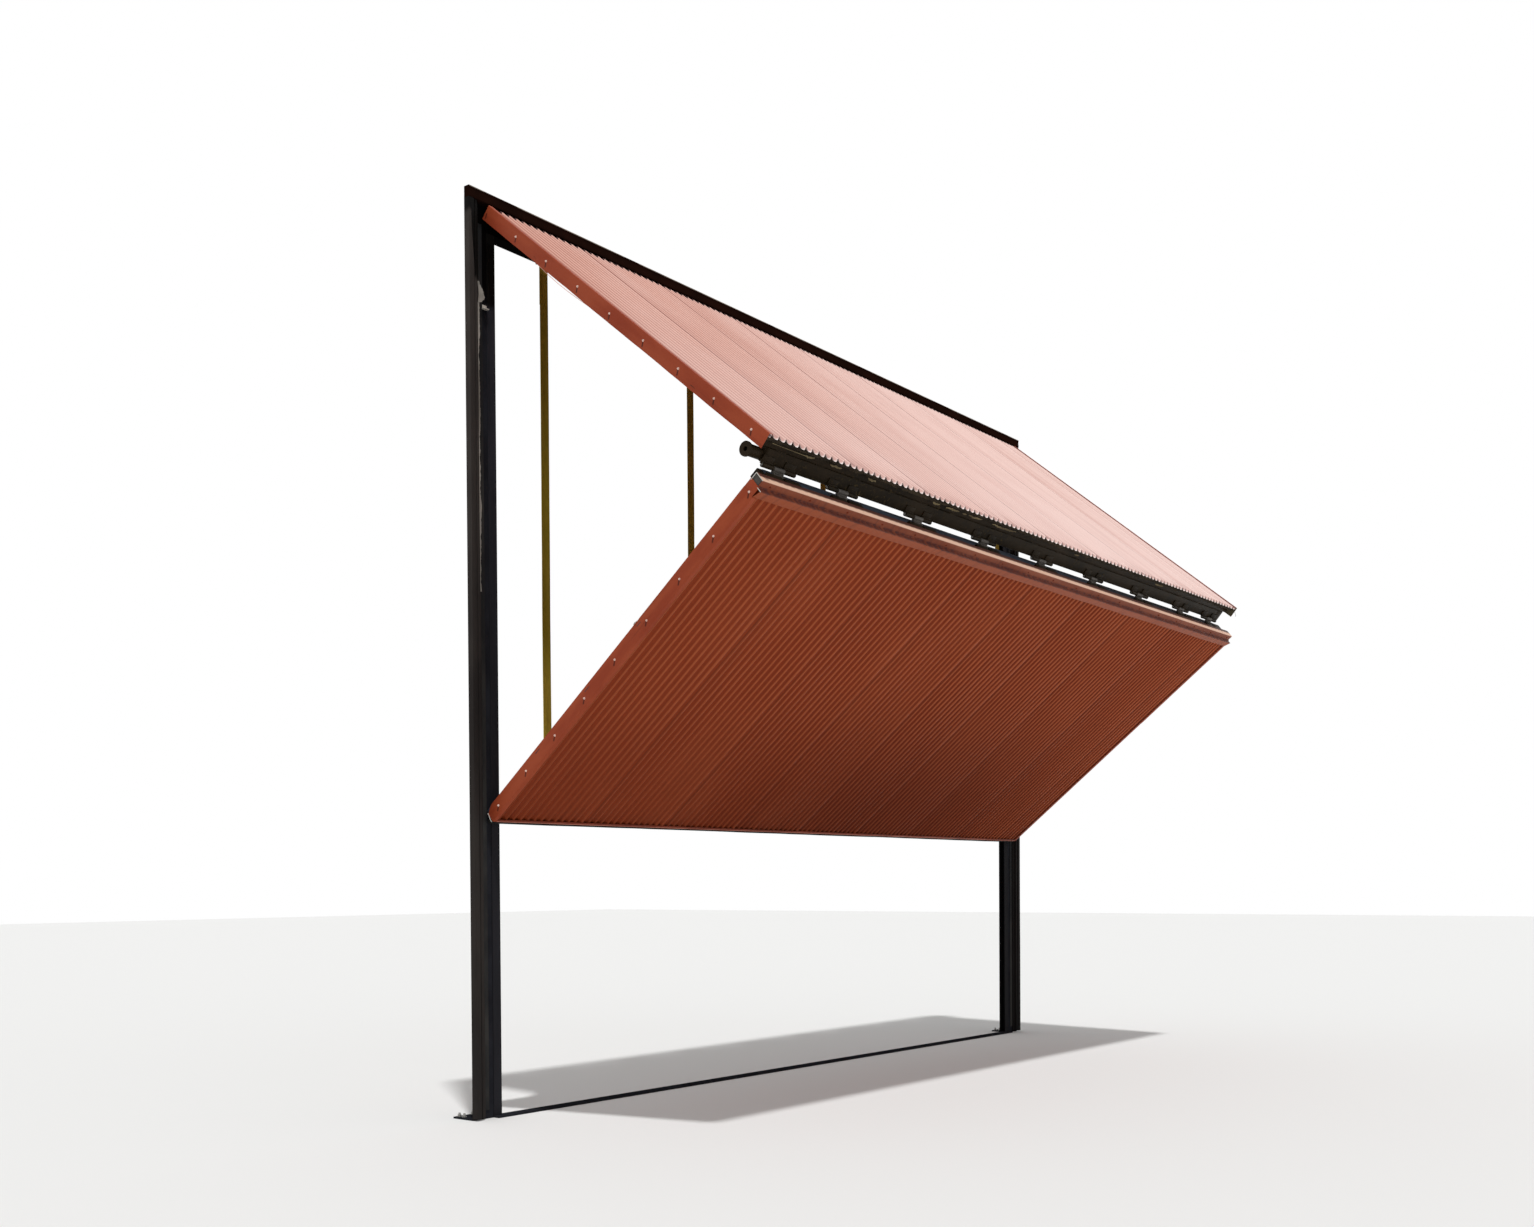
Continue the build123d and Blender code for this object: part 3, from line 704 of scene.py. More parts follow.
beamEnd("upperBeamEndRight", "foldUnder", upper, upperFront, beamFoot["upper"], endLook["upperRight"])
beamEnd("lowerBeamEndRight", "foldUnder", lower, lowerFront, beamFoot["lower"], endLook["lowerRight"])
beamEnd("lowerBeamEndLeft", "foldUnder", lower, lowerFront, beamFoot["lower"], endLook["lowerLeft"])
print("frames done")


# Side trims: folded sheet with a rounded corner, screwed through its side. The lower ones are lapped lengths.

trimLook = {"flange": 0.034, "thickness": 0.0018, "bend": 0.005, "proud": 0.002, "looseUpper": 0.0035,
            "looseLower": 0.0006, "cutBack": 0.033, "cutUp": 0.053, "lapAt": -1.17, "lap": 0.04,
            "lapProud": 0.0012, "lowerTop": -0.115}
earLook = {"front": 0.006, "low": -0.120, "high": -0.046}


def trimOutline(front, side, proud):
    k = trimLook
    x, y = -leafHalf - proud, front - k["proud"] - proud
    outline = folded([(x + k["flange"], y), (x, y), (x, front + backSteel)], -k["thickness"], k["bend"])
    return [(px * -side, py) for px, py in outline]


def sideTrim(name, paint, place, front, spans, side, nodeName, loose, cut=False):
    k = trimLook
    bottom = spans[0][0]

    def wobble(px, py, z):
        back = max(0.0, (py - front) / backSteel)
        dx = side * loose * back ** 2 * (0.5 + 0.5 * ripple(z, 1.3, 4.2))
        dy = loose * 0.4 * ripple(z, 4.0, 6.0) * back
        if cut:
            edge = front + backSteel - max(0.0, bottom + k["cutUp"] - z) * k["cutBack"] / k["cutUp"]
            dy = min(dy, edge - py)
        return dx, dy

    bm = bmesh.new()
    for low, high, proud in spans:
        addUpright(bm, trimOutline(front, side, proud), low, high, place, 60, wobble)
    made(name, bm, paint, nodeName, 35)


def trimScrewRow(name, place, screws, side):
    bm = bmesh.new()
    for index in range(screws["count"]):
        z = screws["first"] - screws["pitch"] * index
        addScrew(bm, (side * leafHalf, screws["y"] + 0.003 * ripple(z, 3, 5), z), (side, 0, 0), place)
    made(name, bm, "screwSteel")


def cornerEar(name, side):  # short tab of the lower trim beside the cap
    k = earLook
    x0, x1 = sorted((side * leafHalf, side * (leafHalf - trimLook["thickness"])))
    y0, y1 = lowerFront + k["front"], lowerFront + backSteel
    bm = bmesh.new()
    addBox(bm, (x0, y0, k["low"]), (x1, y1, k["high"]), lower, 0.0006)
    made(name, bm, "trimLower")


def sideTrims():
    k = trimLook
    upperSpans = [(claddingEnd, 0.0, 0.0)]
    lowerSpans = [(-leafLength, k["lapAt"], 0.0), (k["lapAt"] - k["lap"], k["lowerTop"], k["lapProud"])]
    for label, side in (("left", -1), ("right", 1)):
        title = label.capitalize()
        sideTrim(f"upper{title}Trim", "trimUpper", upper, upperFront, upperSpans, side, f"upper_{label}_trim",
                 k["looseUpper"])
        sideTrim(f"lower{title}Trim", "trimLower", lower, lowerFront, lowerSpans, side, f"lower_{label}_trim",
                 k["looseLower"], True)
        trimScrewRow(f"upper{title}Screws", upper, trimScrews["upper"], side)
        trimScrewRow(f"lower{title}Screws", lower, trimScrews["lower"], side)
        cornerEar(f"lower{title}Ear", side)


lipLook = {"start": -0.66, "end": -1.30, "bow": 0.011, "width": 0.002, "depth": 0.003}


def bowedLip():  # lip of the upper left trim, sprung away from the tube
    k = lipLook
    x0, x1 = -leafHalf, -leafHalf + k["width"]
    rings = []
    for z in stepsBetween(k["start"], k["end"], 48):
        bow = k["bow"] * math.sin(math.pi * (z - k["start"]) / (k["end"] - k["start"])) ** 1.3
        y = upperFront + backSteel - 0.001 + bow + 0.001 * ripple(z, 3, 8)
        rings.append([(x0, y, z), (x1, y, z), (x1, y + k["depth"], z), (x0, y + k["depth"], z)])
    bm = bmesh.new()
    sweep(bm, rings, upper)
    # The lip is painted pale as a painted highlight.
    made("bowedLip", bm, "highlightEdge")


sideTrims()
bowedLip()
print("side trims done")


# Cap along the top of the lower leaf: channel, web, drip nose and a flange that slopes back to the ribs.

capLook = {"setback": 0.017, "height": 0.054, "nose": 0.021, "flange": 0.061, "top": 0.074,
           "thickness": 0.0018, "bend": 0.0035, "dent": 0.0012, "laps": [-1.84, 0.61, 2.44], "lap": 0.03,
           "lapProud": 0.0012}
capWeb = lowerFront + capLook["setback"]
capScrewLook = {"first": -3.571, "pitch": 0.398, "drop": 0.028, "endClear": 0.05}
capEndLook = {"edgeIn": 0.002, "edgeOut": 0.0012, "plugFrom": 0.007, "plugTo": 0.004}


def capTrim():
    k = capLook
    nose = (lowerFront - k["nose"], -k["height"])
    path = [(capWeb + k["top"], 0.0), (capWeb, 0.0), (capWeb, -k["height"] + 0.001), nose,
            (lowerFront - 0.001, -k["height"] - k["flange"])]
    outline = folded(path, k["thickness"], k["bend"])

    def wobble(x, y, z):
        edge = max(0.0, min(1.0, (-z - 0.03) / 0.05))
        lift = k["dent"] * ripple(x, 0.7, 3.1)
        return edge * lift * 1.4, lift * 0.4 * edge + 0.0007 * ripple(x, 3.3, 5.0)

    bm = bmesh.new()
    ends = [-leafHalf] + k["laps"] + [leafHalf]
    for index, (x0, x1) in enumerate(zip(ends, ends[1:])):
        raised = k["lapProud"] * (index % 2)
        shifted = [(y - raised, z + raised * 0.5) for y, z in outline]
        addProfile(bm, shifted, x0, min(x1 + k["lap"], leafHalf), lower, 40, wobble)
    made("lowerCapTrim", bm, "capTrim", "lower_cap_trim", 35)


def capScrews():
    k = capScrewLook
    bm = bmesh.new()
    x = k["first"]
    while x < leafHalf - k["endClear"]:
        point = (x, capWeb, 0.002 * ripple(x, 1, 9) - k["drop"])
        addScrew(bm, point, (0, -1, 0), lower, 0.004, 0.0055, 0.008)
        x += k["pitch"]
    made("capScrews", bm, "trimPlain")


def capEnds():  # bare cut edges, and a grey plug inside each end
    k = capEndLook
    top, height, nose = capWeb + capLook["top"], capLook["height"], lowerFront - capLook["nose"]
    edges, plugs = bmesh.new(), bmesh.new()
    for side in (-1, 1):
        x0, x1 = sorted((side * (leafHalf - k["edgeIn"]), side * (leafHalf + k["edgeOut"])))
        addBox(edges, (x0, capWeb - 0.001, -0.0042), (x1, top, 0.0006), lower, 0.0006)
        addBox(edges, (x0, nose, -height - 0.0025), (x1, capWeb, -height + 0.002), lower, 0.0006)
        addBox(edges, (x0, top - 0.0034, -0.060), (x1, top + 0.0008, -0.002), lower, 0.0006)
        x0, x1 = sorted((side * (leafHalf - k["plugFrom"]), side * (leafHalf - k["plugTo"])))
        addBox(plugs, (x0, capWeb + 0.001, -0.052), (x1, top - 0.004, -0.005), lower, 0.0006)
    made("capCutEdges", edges, "cutEdge")
    made("capPlugs", plugs, "lugSteel")


capTrim()
capScrews()
capEnds()


# Bottom edge of the lower leaf: the lipped trim and the rubber seal.

bottomLook = {"lip": 0.022, "back": 0.090, "proud": 0.002, "thickness": 0.0018, "wave": 0.0011}
rimLook = {"proud": 0.0010, "depth": 0.009, "drop": 0.0022, "rise": 0.0060}
sealLook = {"front": 0.010, "depth": 0.034, "drop": 0.042, "neck": 0.004, "wave": 0.0022}


def bottomTrim():
    k = bottomLook
    near, low = lowerFront - k["proud"], -leafLength
    half = leafHalf - trimLook["flange"]
    path = [(near, low + k["lip"]), (near, low - k["proud"]), (near + k["back"], low - k["proud"])]
    bm = bmesh.new()
    addProfile(bm, folded(path, k["thickness"], 0.003), -half, half, lower, 120,
               lambda x, y, z: (0.0008 * ripple(x, 2, 6), k["wave"] * ripple(x, 1, 2.6) * (z > low + 0.01)))
    made("lowerBottomTrim", bm, "trimPlain", "lower_bottom_trim", 35)


def bottomRim():  # pale edge along the foot of the trim
    k = rimLook
    near, half = lowerFront - bottomLook["proud"], leafHalf - trimLook["flange"]
    start = (-half, near - k["proud"], -leafLength - k["drop"])
    end = (half, near + k["depth"], -leafLength + k["rise"])
    bm = bmesh.new()
    addBox(bm, start, end, lower, 0.0008)
    made("bottomRim", bm, "rimEdge")


def bottomSeal():  # rubber bulb that hangs from the bottom trim
    k = sealLook
    y0 = lowerFront + k["front"]
    y1, top = y0 + k["depth"], -leafLength - bottomLook["proud"]
    middle, radius = (y0 + y1) / 2, (y1 - y0) / 2
    curveTop = top - k["drop"] + radius
    outline = [(y0 + k["neck"], top), (y0 + k["neck"], curveTop)]
    for t in stepsBetween(0, math.pi, 10):
        outline.append((middle - radius * math.cos(t), curveTop - radius * math.sin(t)))
    outline += [(y1 - k["neck"], curveTop), (y1 - k["neck"], top)]

    def wobble(x, y, z):
        hang = k["wave"] * (top - z) / k["drop"]
        return hang * ripple(x, 5, 2.2), hang * max(0.0, ripple(x, 3, 3.4))

    bm = bmesh.new()
    addProfile(bm, outline, -panelHalf, panelHalf, lower, 160, wobble)
    made("bottomSeal", bm, "rubber", "bottom_seal", 50)


bottomTrim()
bottomRim()
bottomSeal()
print("lower trims done")


# Torn closure strip behind the teeth of the upper sheet: a soft flap with ragged, lighter edges.

closureLook = {"drop": 0.034, "flapBack": 0.034, "flapRise": 0.017, "thickness": 0.003, "steps": 900,
               "ragged": 0.0034}
ragLook = {"ragged": 0.004, "step": 0.009, "width": 0.012, "rise": 0.010, "thickness": 0.002,
           "spans": [(-3.24, -3.15), (-2.98, -2.86), (-2.57, -2.47), (-1.78, -1.69), (-1.60, -1.43),
                     (-1.38, -1.33), (-1.30, -1.12), (-0.96, -0.62), (0.35, 0.42), (1.9, 2.05)]}
threadLook = {"start": -3.56, "end": -3.19, "sag": 0.016, "size": (0.004, 0.003)}
closureLow, closureFront = split - closureLook["drop"], upperFront + tubeDepth


def closureStrip():
    k = closureLook
    low, y0, t, base = closureLow, closureFront, k["thickness"], beamFoot["upper"]
    rings, ragged = [], 0.0
    for x in stepsBetween(-panelHalf, panelHalf, k["steps"]):
        ragged = ragged * 0.72 + rng.uniform(-1, 1) * k["ragged"]
        reach = y0 + k["flapBack"] * (0.78 + 0.16 * ripple(x, 2, 3.3)) + ragged
        sag = 0.003 * ripple(x, 6, 5.0) + ragged * 0.5
        lift = low + k["flapRise"]
        rings.append([(x, y0, base), (x, y0, low + 0.002), (x, y0 + 0.002, low + sag), (x, reach, lift + sag),
                      (x, reach + 0.001, lift + t + sag), (x, y0 + t + 0.001, low + t + sag),
                      (x, y0 + t, base)])
    bm = bmesh.new()
    sweep(bm, rings, upper)
    made("closureStrip", bm, "foam", "upper_closure_strip", 40)


def closureRags():  # lighter rags along the flap's edge, and a loose thread at its left end
    k, h = ragLook, threadLook
    back = closureLook["flapBack"]
    bm = bmesh.new()
    for x0, x1 in k["spans"]:
        rings, ragged = [], 0.0
        for x in stepsBetween(x0, x1, max(4, int((x1 - x0) / k["step"]))):
            ragged = ragged * 0.5 + rng.uniform(-1, 1) * k["ragged"]
            width = k["width"] * math.sin(math.pi * (x - x0 + 0.004) / (x1 - x0 + 0.008)) ** 0.5 + 0.002
            y, z = closureFront + back * 0.86 + ragged, closureLow + k["rise"] + ragged * 0.6
            far, t = z + width * 0.25, k["thickness"]
            rings.append([(x, y, z), (x, y + width, far), (x, y + width, far + t), (x, y, z + t)])
        sweep(bm, rings, upper)
    rings = []
    y, (depth, height) = closureFront + back * 0.95, h["size"]
    for x in stepsBetween(h["start"], h["end"], 60):
        sunk = h["sag"] * (x - h["start"]) / (h["end"] - h["start"])
        z = closureLow + h["sag"] - sunk + 0.002 * ripple(x, 4, 20)
        rings.append([(x, y, z), (x, y + depth, z), (x, y + depth, z + height), (x, y, z + height)])
    sweep(bm, rings, upper)
    made("closureRags", bm, "foamLight")


closureStrip()
closureRags()


# Hinges. The fold hinges have two knuckles on the upper beam and one lug on the lower beam.

hingeLook = {"lug": 0.105, "knuckle": 0.105, "gap": 0.003, "barrel": 0.015, "pin": 0.0075, "play": 0.0005,
             "plate": 0.008, "reach": 0.054, "neck": 0.021, "beamGap": 0.024, "weld": 0.0035, "weldIn": 0.004}
headerHingeLook = {"barrel": 0.012, "pin": 0.006, "wallY": 0.040, "plate": 0.008, "halfHeight": 0.024}
pinLook = {"past": 0.006, "cotterIn": 0.0045, "cotterPast": 0.007, "cotter": 0.0018}
padLook = {"half": 0.165, "hole": 0.012, "rise": 0.018, "front": 0.100, "back": 0.060}
foldAxisUpper = upper @ Matrix.Translation((0, linkage["foldDepth"] - linkage["pinDepth"], -arm))


def hingeSpans():
    middle = hingeLook["lug"] / 2
    start = middle + hingeLook["gap"]
    end = start + hingeLook["knuckle"]
    return [(-end, -start), (start, end)], [(-middle, middle)]


def foldHinges(name, paint, place, spans, side, nodeName):
    k = hingeLook
    seam = side * k["beamGap"]
    plate = sorted((seam, side * (k["beamGap"] - k["plate"])))
    neck = sorted((side * k["barrel"] * 0.6, side * (k["beamGap"] - 0.004)))
    bm = bmesh.new()
    for station in stations:
        for x0, x1 in ((station + a, station + b) for a, b in spans):
            addBox(bm, (x0, -k["reach"], plate[0]), (x1, -0.0005, plate[1]), place, 0.0016)
            addBox(bm, (x0 + 0.001, -k["neck"], neck[0]), (x1 - 0.001, 0.0, neck[1]), place, 0.002)
            addTube(bm, (x0, 0, 0), (x1, 0, 0), k["barrel"], k["pin"] + k["play"], 28, place)
            left, right = x0 + k["weldIn"], x1 - k["weldIn"]
            addRod(bm, (left, -k["reach"], seam), (right, -k["reach"], seam), k["weld"], 8, place)
    made(name, bm, paint, nodeName, 35)


def hingePads():  # low blocks on the lower beam that close the gap under each hinge
    k = padLook
    low, high = -hingeLook["beamGap"] - 0.0005, k["rise"] - hingeLook["beamGap"]
    bm = bmesh.new()
    for station in stations:
        for x0, x1 in ((-k["half"], -k["hole"]), (k["hole"], k["half"])):
            addBox(bm, (station + x0, -k["front"], low), (station + x1, -k["back"], high), lower, 0.0016)
    made("hingePads", bm, "foldUnder")


def hingePins(name, place, radius, nodeName):
    k = pinLook
    reach, past = hingeSpans()[0][1][1] + k["past"], radius + k["cotterPast"]
    bm = bmesh.new()
    for station in stations:
        addRod(bm, (station - reach, 0, 0), (station + reach, 0, 0), radius, 20, place, 0.0012)
        for x in (station - reach + k["cotterIn"], station + reach - k["cotterIn"]):
            addRod(bm, (x, 0, -past), (x, 0, past), k["cotter"], 8, place)
    made(name, bm, "pinSteel", nodeName)


def headerHinges():
    k = headerHingeLook
    outer, middle = hingeSpans()
    half, bore, height = outer[1][1], k["pin"] + hingeLook["play"], k["halfHeight"]
    hang = Matrix.Translation((0, linkage["pinY"], linkage["pinZ"]))
    wall = k["wallY"] - linkage["pinY"]
    near, far = wall - k["plate"], wall - 0.0002
    bm, leaves = bmesh.new(), bmesh.new()
    for station in stations:
        addBox(bm, (station - half, near, -height), (station + half, far, height), hang, 0.0016)
        for x0, x1 in ((station + a, station + b) for a, b in outer):
            addBox(bm, (x0, k["barrel"] * 0.7, -0.008), (x1, wall - 0.006, 0.008), hang, 0.0016)
            addTube(bm, (x0, 0, 0), (x1, 0, 0), k["barrel"], bore, 24, hang)
        for x0, x1 in ((station + a, station + b) for a, b in middle):
            addBox(leaves, (x0, -0.010, -0.018), (x1, 0.010, -0.0085), upper, 0.0012)
            addBox(leaves, (x0, -0.032, -0.0202), (x1, 0.032, -0.0142), upper, 0.0016)
            addTube(leaves, (x0, 0, 0), (x1, 0, 0), k["barrel"], bore, 24, upper)
    made("headerHinges", bm, "hingeSteel", "header_hinges", 35)
    made("leafHinges", leaves, "hingeSteel", "leaf_hinges", 35)
    hingePins("headerPins", hang, k["pin"], "header_hinge_pins")


hingePads()
foldHinges("upperFoldHinges", "foldUnder", foldAxisUpper, hingeSpans()[0], 1, "upper_fold_hinges")
foldHinges("lowerFoldHinges", "lugSteel", lower, hingeSpans()[1], -1, "lower_fold_hinges")
hingePins("foldPins", lower, hingeLook["pin"], "fold_hinge_pins")
headerHinges()
print("hinges done")


# Header flashing and the jamb flashings with their torn strip.

headerLook = {"half": 3.81, "low": 6.235, "high": 6.310, "front": -0.010, "back": 0.040, "groove": 0.0022,
              "dent": 0.0009, "steps": 90}


def headerTrim():
    k = headerLook
    f, b, low, high = k["front"], k["back"], k["low"], k["high"]
    sunk = f + k["groove"]
    points = [(b, low), (f + 0.003, low), (f, low + 0.003), (f, low + 0.022), (sunk, low + 0.026),
              (sunk, high - 0.014), (f, high - 0.011), (f, high - 0.003), (f + 0.003, high), (b, high)]
    bm = bmesh.new()
    addProfile(bm, points, -k["half"], k["half"], None, k["steps"],
               lambda x, y, z: (k["dent"] * (0.5 + 0.5 * ripple(x, 1.1, 4.3)) * (y < 0), 0.0))
    made("headerTrim", bm, "headerBlack", "header_trim", 35)
    # A pale strip along the top edge: painted highlight.
    edge = bmesh.new()
    addBox(edge, (-k["half"], f + 0.0002, high - 0.0075), (k["half"], f + 0.004, high - 0.0005), None, 0.0012)
    made("headerEdgeHighlight", edge, "headerEdgeHighlight")


jambLook = {"outer": 3.810, "inner": 3.706, "face": 0.045, "groove": 0.010, "bead": 0.022,
            "front": -0.008, "beadFront": -0.002, "deep": 0.022, "back": 0.040, "wall": 0.003,
            "thickness": 0.0022, "bend": 0.0025, "foot": 0.012, "steps": 70, "dent": 0.0016}


def jambTrim(name, side, nodeName):
    k = jambLook
    front, bead, deep, back = k["front"], k["beadFront"], k["deep"], k["back"]
    x0, x4, floor = -k["outer"], -k["inner"], deep - k["wall"]
    x1 = x0 + k["face"]
    x2 = x1 + k["groove"]
    x3 = x2 + k["bead"]
    path = [(x0, back), (x0, front), (x1, front), (x1, floor), (x2, floor), (x2, bead), (x3, bead),
            (x3, deep), (x4, deep), (x4, back)]
    outline = [(px * -side, py) for px, py in folded(path, k["thickness"], k["bend"], 2)]
    bm = bmesh.new()
    addUpright(bm, outline, k["foot"], headerLook["low"], None, k["steps"],
               lambda px, py, z: (0.0, k["dent"] * (0.5 + 0.5 * ripple(z, abs(px) * 50, 3.7)) * (py < 0.03)))
    made(name, bm, "jambGrey", nodeName, 35)


tornLook = {"edge": -3.716, "flapFrom": 5.56, "flapTo": 5.70, "flapRagged": 0.004, "ragFrom": 3.6,
            "ragRagged": 0.0025}
bracketLook = {"left": -3.668, "right": -3.6205, "foot": 5.530, "height": 0.032, "reach": 0.030,
               "back": 0.0402}


def tornFlap():  # strip that has come away from the left jamb
    k = tornLook
    rings, ragged = [], 0.0
    for z in stepsBetween(k["flapFrom"], k["flapTo"], 22):
        t = (z - k["flapFrom"]) / (k["flapTo"] - k["flapFrom"])
        ragged = ragged * 0.5 + rng.uniform(-1, 1) * k["flapRagged"]
        width = 0.010 + 0.040 * math.sin(math.pi * min(1.0, 0.12 + t * 0.95)) ** 1.6 * (1.2 - t) + ragged
        left = k["edge"] + 0.004 * (1 - t)
        right, y = left + width, 0.0195 - 0.008 * math.sin(math.pi * t)
        rings.append([(left, y, z), (right, y - 0.010, z), (right, y - 0.0085, z), (left, y + 0.002, z)])
    bm = bmesh.new()
    sweep(bm, rings)
    made("tornFlap", bm, "tornGrey")


def tornEdge():  # its ragged remains below the flap
    k = tornLook
    rings, ragged = [], 0.0
    for z in stepsBetween(k["ragFrom"], k["flapFrom"], 300):
        ragged = ragged * 0.8 + rng.uniform(-1, 1) * k["ragRagged"]
        left, right = k["edge"], k["edge"] + max(0.003, 0.011 + 0.005 * ripple(z, 2, 9) + ragged)
        y = 0.0205 + 0.001 * ripple(z, 5, 14)
        rings.append([(left, y, z), (right, y - 0.002, z), (right, y - 0.0006, z), (left, y + 0.0014, z)])
    bm = bmesh.new()
    sweep(bm, rings)
    made("tornEdge", bm, "tornGrey")


def jambBracket():
    k = bracketLook
    left, right, foot, back = k["left"], k["right"], k["foot"], k["back"]
    bm = bmesh.new()
    addBox(bm, (left, back - 0.0027, foot), (right, back, foot + k["height"]), None, 0.0006)
    addBox(bm, (left, back - 0.0002 - k["reach"], foot), (right, back - 0.0002, foot + 0.0045), None, 0.0006)
    made("jambBracket", bm, "cutEdge")


headerTrim()
jambTrim("leftJambTrim", -1, "left_jamb_trim")
jambTrim("rightJambTrim", 1, "right_jamb_trim")
tornFlap()
jambBracket()
tornEdge()
print("surround trims done")


# Small steel: eye at the left end of the upper beam, bent metal at three corners, anchors at the posts' feet.

eyeLook = {"at": (-3.642, 0.103, -2.988), "radius": 0.046, "hole": 0.015, "thickness": 0.012,
           "pipe": 0.037, "pipeBore": 0.031, "pipeEnd": -3.513}
bentLook = {"sheet": 0.0016,
            "strip": [(-0.128, -3.0400), (-0.150, -3.0420), (-0.168, -3.0480), (-0.197, -3.0500)],
            "stripX": (-3.677, -3.667), "stripCurl": 0.004,
            "nub": [(-0.106, -1.225), (-0.098, -1.248), (-0.103, -1.262)], "nubX": (-3.6745, -3.6655),
            "hook": [(-0.030, -3.085), (-0.018, -3.120), (0.004, -3.150), (0.012, -3.146)],
            "hookX": (3.6645, 3.6680)}
anchorLook = {"center": (3.715, 0.189), "spread": (0.060, 0.025), "plateTop": 0.012, "washer": 0.017,
              "washerThickness": 0.003, "radius": 0.008, "rise": 0.038, "nut": 0.0135, "nutTop": 0.028}


def endEye():
    k = eyeLook
    x, y, z = k["at"]
    x0, x1 = x - k["thickness"] / 2, x + k["thickness"] / 2
    bm = bmesh.new()
    addTube(bm, (x0, y, z), (x1, y, z), k["radius"], k["hole"], 36, upper)
    addTube(bm, (x + 0.004, y, z), (k["pipeEnd"], y, z), k["pipe"], k["pipeBore"], 36, upper)
    made("endEye", bm, "foldUnder")


def bentMetal():
    k = bentLook
    x0, x1 = k["stripX"]
    strip, hook = bmesh.new(), bmesh.new()
    addProfile(strip, folded(k["strip"], k["sheet"], 0.006), x0, x1, lower, 8,
               lambda x, y, z: (0.0, k["stripCurl"] * ((x1 - x) / (x1 - x0)) ** 2))
    addProfile(strip, folded(k["nub"], k["sheet"], 0.004), *k["nubX"], lower)
    made("bentStrip", strip, "cutEdge")
    addProfile(hook, folded(k["hook"], k["sheet"], 0.006), *k["hookX"], upper)
    made("trimHook", hook, "foldUnder")


def footAnchors():
    k = anchorLook
    (cx, cy), (sx, sy), low = k["center"], k["spread"], k["plateTop"]
    seat = low + k["washerThickness"]
    bm = bmesh.new()
    for middle in (-cx, cx):
        for x, y in ((middle + a, cy + b) for a in (-sx, sx) for b in (-sy, sy)):
            addTube(bm, (x, y, low), (x, y, seat), k["washer"], k["radius"] + 0.0005, 24)
            addRod(bm, (x, y, seat), (x, y, k["nutTop"]), k["nut"], 6, None, 0.0012)
            addRod(bm, (x, y, 0.001), (x, y, k["rise"]), k["radius"], 16, None, 0.0012)
    made("footAnchors", bm, "brightSteel")


endEye()
bentMetal()
footAnchors()


# Lift: webbing with thick edges, a loop and sewn end at the top, bolts and cooling fins on the drive.

strapLook = {"width": 0.076, "thickness": 0.004, "edge": 0.005, "sewn": 0.3, "turns": 3, "loop": 0.0125,
             "top": 6.026, "run": 0.052}
shaftLook = {"depth": 0.172, "rise": 0.106, "drum": 0.04425, "drumBolts": 0.054, "bearingAt": -0.078}
motorLook = {"x": -0.1745 * leafHalf, "rise": 0.140, "bearingAt": 0.480, "barrel": 0.0705, "fins": 11,
             "finSpread": 75, "finFrom": 0.090, "finTo": 0.385, "finHeight": 0.009, "box": (0.16, 0.26)}


def shaftPlace():
    return lower @ Matrix.Translation((0, lowerFront + shaftLook["depth"], -leafLength + shaftLook["rise"]))


def liftStrap(number, x0):
    k = strapLook
    center = shaftPlace().to_translation()
    half, t, edge, top = k["width"] / 2, k["thickness"] / 2, k["edge"], k["top"]
    y, loop, drum = center.y + k["run"] - t, k["loop"], shaftLook["drum"]
    right = [(half - edge - 0.001, -t * 0.85), (half - edge, -t), (half, -t), (half, t), (half - edge, t),
             (half - edge - 0.001, t * 0.85)]
    outline = right + [(-px, py) for px, py in reversed(right)]
    bm = bmesh.new()
    addUpright(bm, [(x0 + px, y + py) for px, py in outline], center.z + 0.004, top - 0.006, None, 60,
               lambda px, py, z: (0.0012 * ripple(z, x0, 2.1), 0.0006 * ripple(z, x0 * 3, 3.0)))
    eye = y - t + loop
    addTube(bm, (x0 - half, eye, top), (x0 + half, eye, top), loop, loop - k["thickness"], 32)
    for turn in range(k["turns"]):
        x1, inner = half - turn * 0.0004, drum + turn * 0.0026
        addTube(bm, (x0 - x1, center.y, center.z), (x0 + x1, center.y, center.z), inner + 0.00255, inner, 48)
    left, right, far = x0 - half + 0.001, x0 + half - 0.001, y + 3 * t
    sewn = [(left, y + t), (right, y + t), (right, far), (left, far)]
    addUpright(bm, sewn, top - k["sewn"], top - 0.004, None, 6)
    made(f"liftStrap{number}", bm, "webbing", f"lift_strap_{number}", 30)


def driveBolts():
    k = shaftLook
    place, wall = shaftPlace(), backSteel - k["depth"]
    bm = bmesh.new()
    for x in [x + k["bearingAt"] for x in strapStations] + [motorLook["x"] + motorLook["bearingAt"]]:
        for z in (-0.062, 0.062):
            addRod(bm, (x, wall + 0.0118, z), (x, wall + 0.021, z), 0.0095, 6, place, 0.0008)
    for x in strapStations:
        for t in (math.pi * i / 3 for i in range(6)):
            y, z = k["drumBolts"] * math.cos(t), k["drumBolts"] * math.sin(t)
            addRod(bm, (x + 0.0468, y, z), (x + 0.0525, y, z), 0.0055, 6, place)
    made("driveBolts", bm, "brightSteel")


